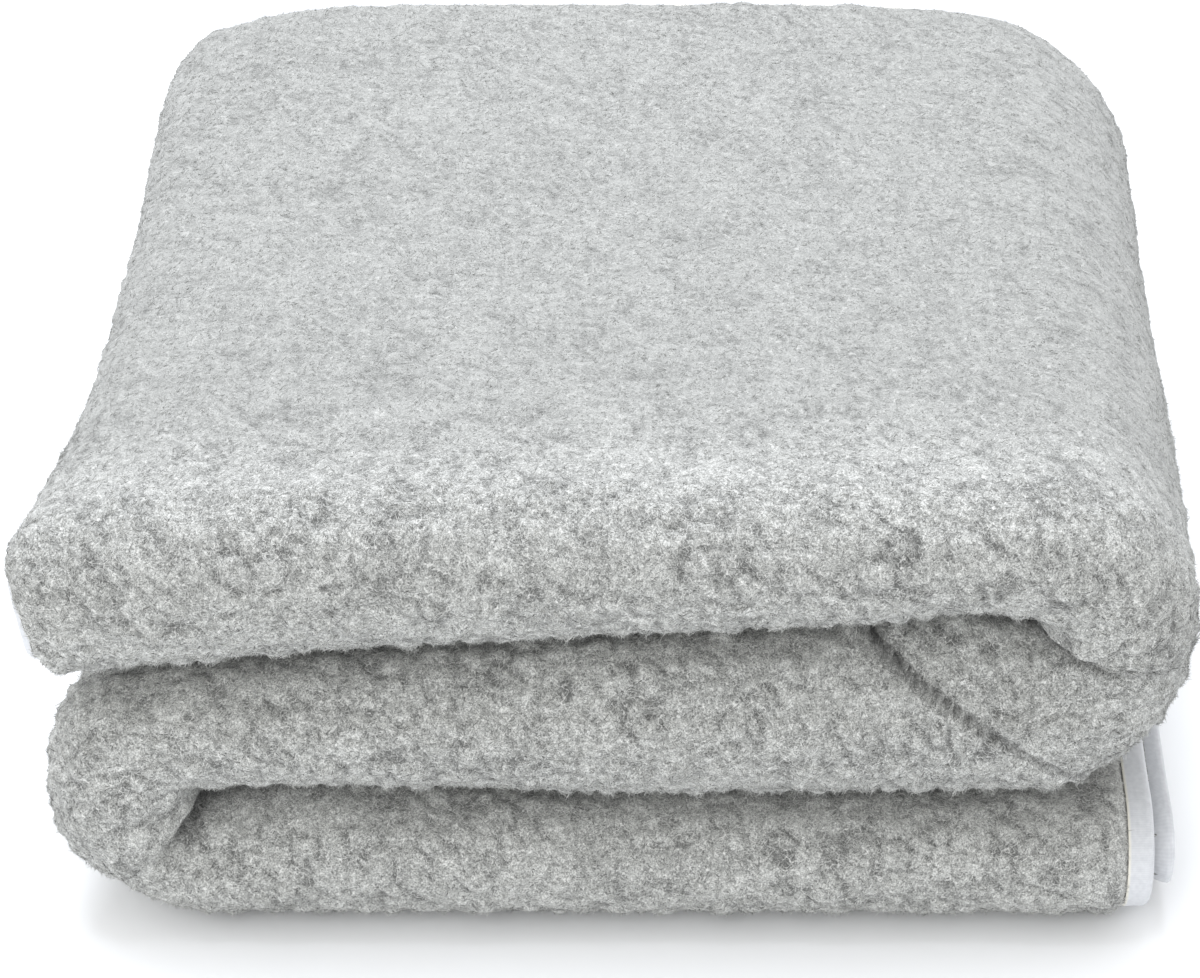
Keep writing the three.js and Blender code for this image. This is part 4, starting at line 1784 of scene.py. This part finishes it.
@dataclass(frozen=True)
class StudioPaperFinish:
    """White seamless paper: even and matt, its grain just felt. Sizes are in millimetres."""

    white: str = "#f7f8f9"
    grain: float = 10 / 9
    grain_height: float = 0.1

    def build(self) -> bpy.types.Material:
        """Builds the material.

        Returns:
            The new material.
        """
        material = new_material("seamless_paper")
        place = add_node(material, "ShaderNodeTexCoord").outputs["Object"]
        grain = add_node(material, "ShaderNodeTexNoise", {
            "Vector": place, "Scale": 1 / (self.grain * MM), "Detail": 1.0,
        })
        bump = add_node(material, "ShaderNodeBump", {
            "Height": grain.outputs["Fac"], "Strength": 0.05, "Distance": self.grain_height * MM,
        })
        shader = add_node(material, "ShaderNodeBsdfPrincipled", {
            "Base Color": linear(self.white), "Roughness": 0.9, "Specular IOR Level": 0.2,
            "Normal": bump.outputs["Normal"],
        })
        add_node(material, "ShaderNodeOutputMaterial", {"Surface": shader.outputs["BSDF"]})
        return material


@dataclass(frozen=True)
class SoftBox:
    """One soft studio light: its place, where it looks, its size in metres, its power and colour."""

    name: str
    place: tuple[float, float, float]
    target: tuple[float, float, float]
    size: float
    watts: float
    colour: str

    def build(self) -> None:
        """Adds the light."""
        data = bpy.data.lights.new(self.name, "AREA")
        data.shape, data.size, data.energy = "DISK", self.size, self.watts
        data.color = linear(self.colour)[:3]
        lamp = bpy.data.objects.new(self.name, data)
        lamp.location = self.place
        way = np.array(self.target) - np.array(self.place)
        tilt, heading = math.acos(-way[2] / np.linalg.norm(way)), math.atan2(way[1], way[0])
        lamp.rotation_euler = (tilt, 0, heading - math.pi / 2)
        bpy.context.scene.collection.objects.link(lamp)


@dataclass(frozen=True)
class Studio:
    """The pale floor, the soft light and the camera at the photograph's angle.

    Lengths are in metres, those of the lens and the sensor in millimetres, and angles in degrees.
    """

    finish: StudioPaperFinish = StudioPaperFinish()
    floor_size: float = 9.0
    air: str = "#fbfbfb"
    ambient: float = 1.06
    sensor: float = 36.0
    lens: float = 106.26
    camera_place: tuple[float, float, float] = (-0.0122, -1.442, 1.010)
    camera_dip: float = 33.0
    lights: tuple[SoftBox, ...] = (
        SoftBox("overhead_soft_box", (-0.15, 0.35, 1.9), (0, 0, 0.1), 1.6, 37.0, "#f3f7ff"),
        SoftBox("front_soft_box", (-0.7, -2.2, 1.5), (0, 0, 0.1), 1.8, 14.0, "#ffffff"),
    )

    def build(self) -> None:
        """Adds the floor, the world's light, the lights and the camera."""
        bpy.ops.object.select_all(action="DESELECT")
        bpy.ops.mesh.primitive_plane_add(size=self.floor_size)
        floor = bpy.context.object
        floor.name = "studio_floor"
        floor.data.materials.append(self.finish.build())
        world = bpy.data.worlds.new("studio_air")
        world.use_nodes = True
        background = world.node_tree.nodes["Background"]
        background.inputs["Color"].default_value = linear(self.air)
        background.inputs["Strength"].default_value = self.ambient
        bpy.context.scene.world = world
        for light in self.lights:
            light.build()
        data = bpy.data.cameras.new("studio_camera")
        data.lens, data.sensor_width = self.lens, self.sensor
        data.clip_start, data.clip_end = 0.05, 50.0
        camera = bpy.data.objects.new("studio_camera", data)
        camera.location = self.camera_place
        camera.rotation_euler = (math.radians(90 - self.camera_dip), 0, 0)
        bpy.context.scene.collection.objects.link(camera)
        bpy.context.scene.camera = camera
        bpy.context.scene.view_settings.view_transform = "Standard"


def main() -> None:
    """Builds the blanket piece by piece and sets up the studio."""
    logging.basicConfig(level=logging.INFO, format="%(name)s: %(message)s")
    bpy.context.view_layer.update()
    Studio().build()
    fold = Folding(StackSizes())
    cloth = PileCloth(fold, WoolPileFinish())
    sheet = cloth.build()
    log.info("%s: %d points, %d faces", sheet.name, len(sheet.data.vertices), len(sheet.data.polygons))
    tapes = [BindingTape(fold, edge, WovenTapeFinish()).build() for edge in BoundEdge]
    fibres = PileFibres(cloth, WoolFibreFinish()).build()


if __name__ == "__main__":
    main()
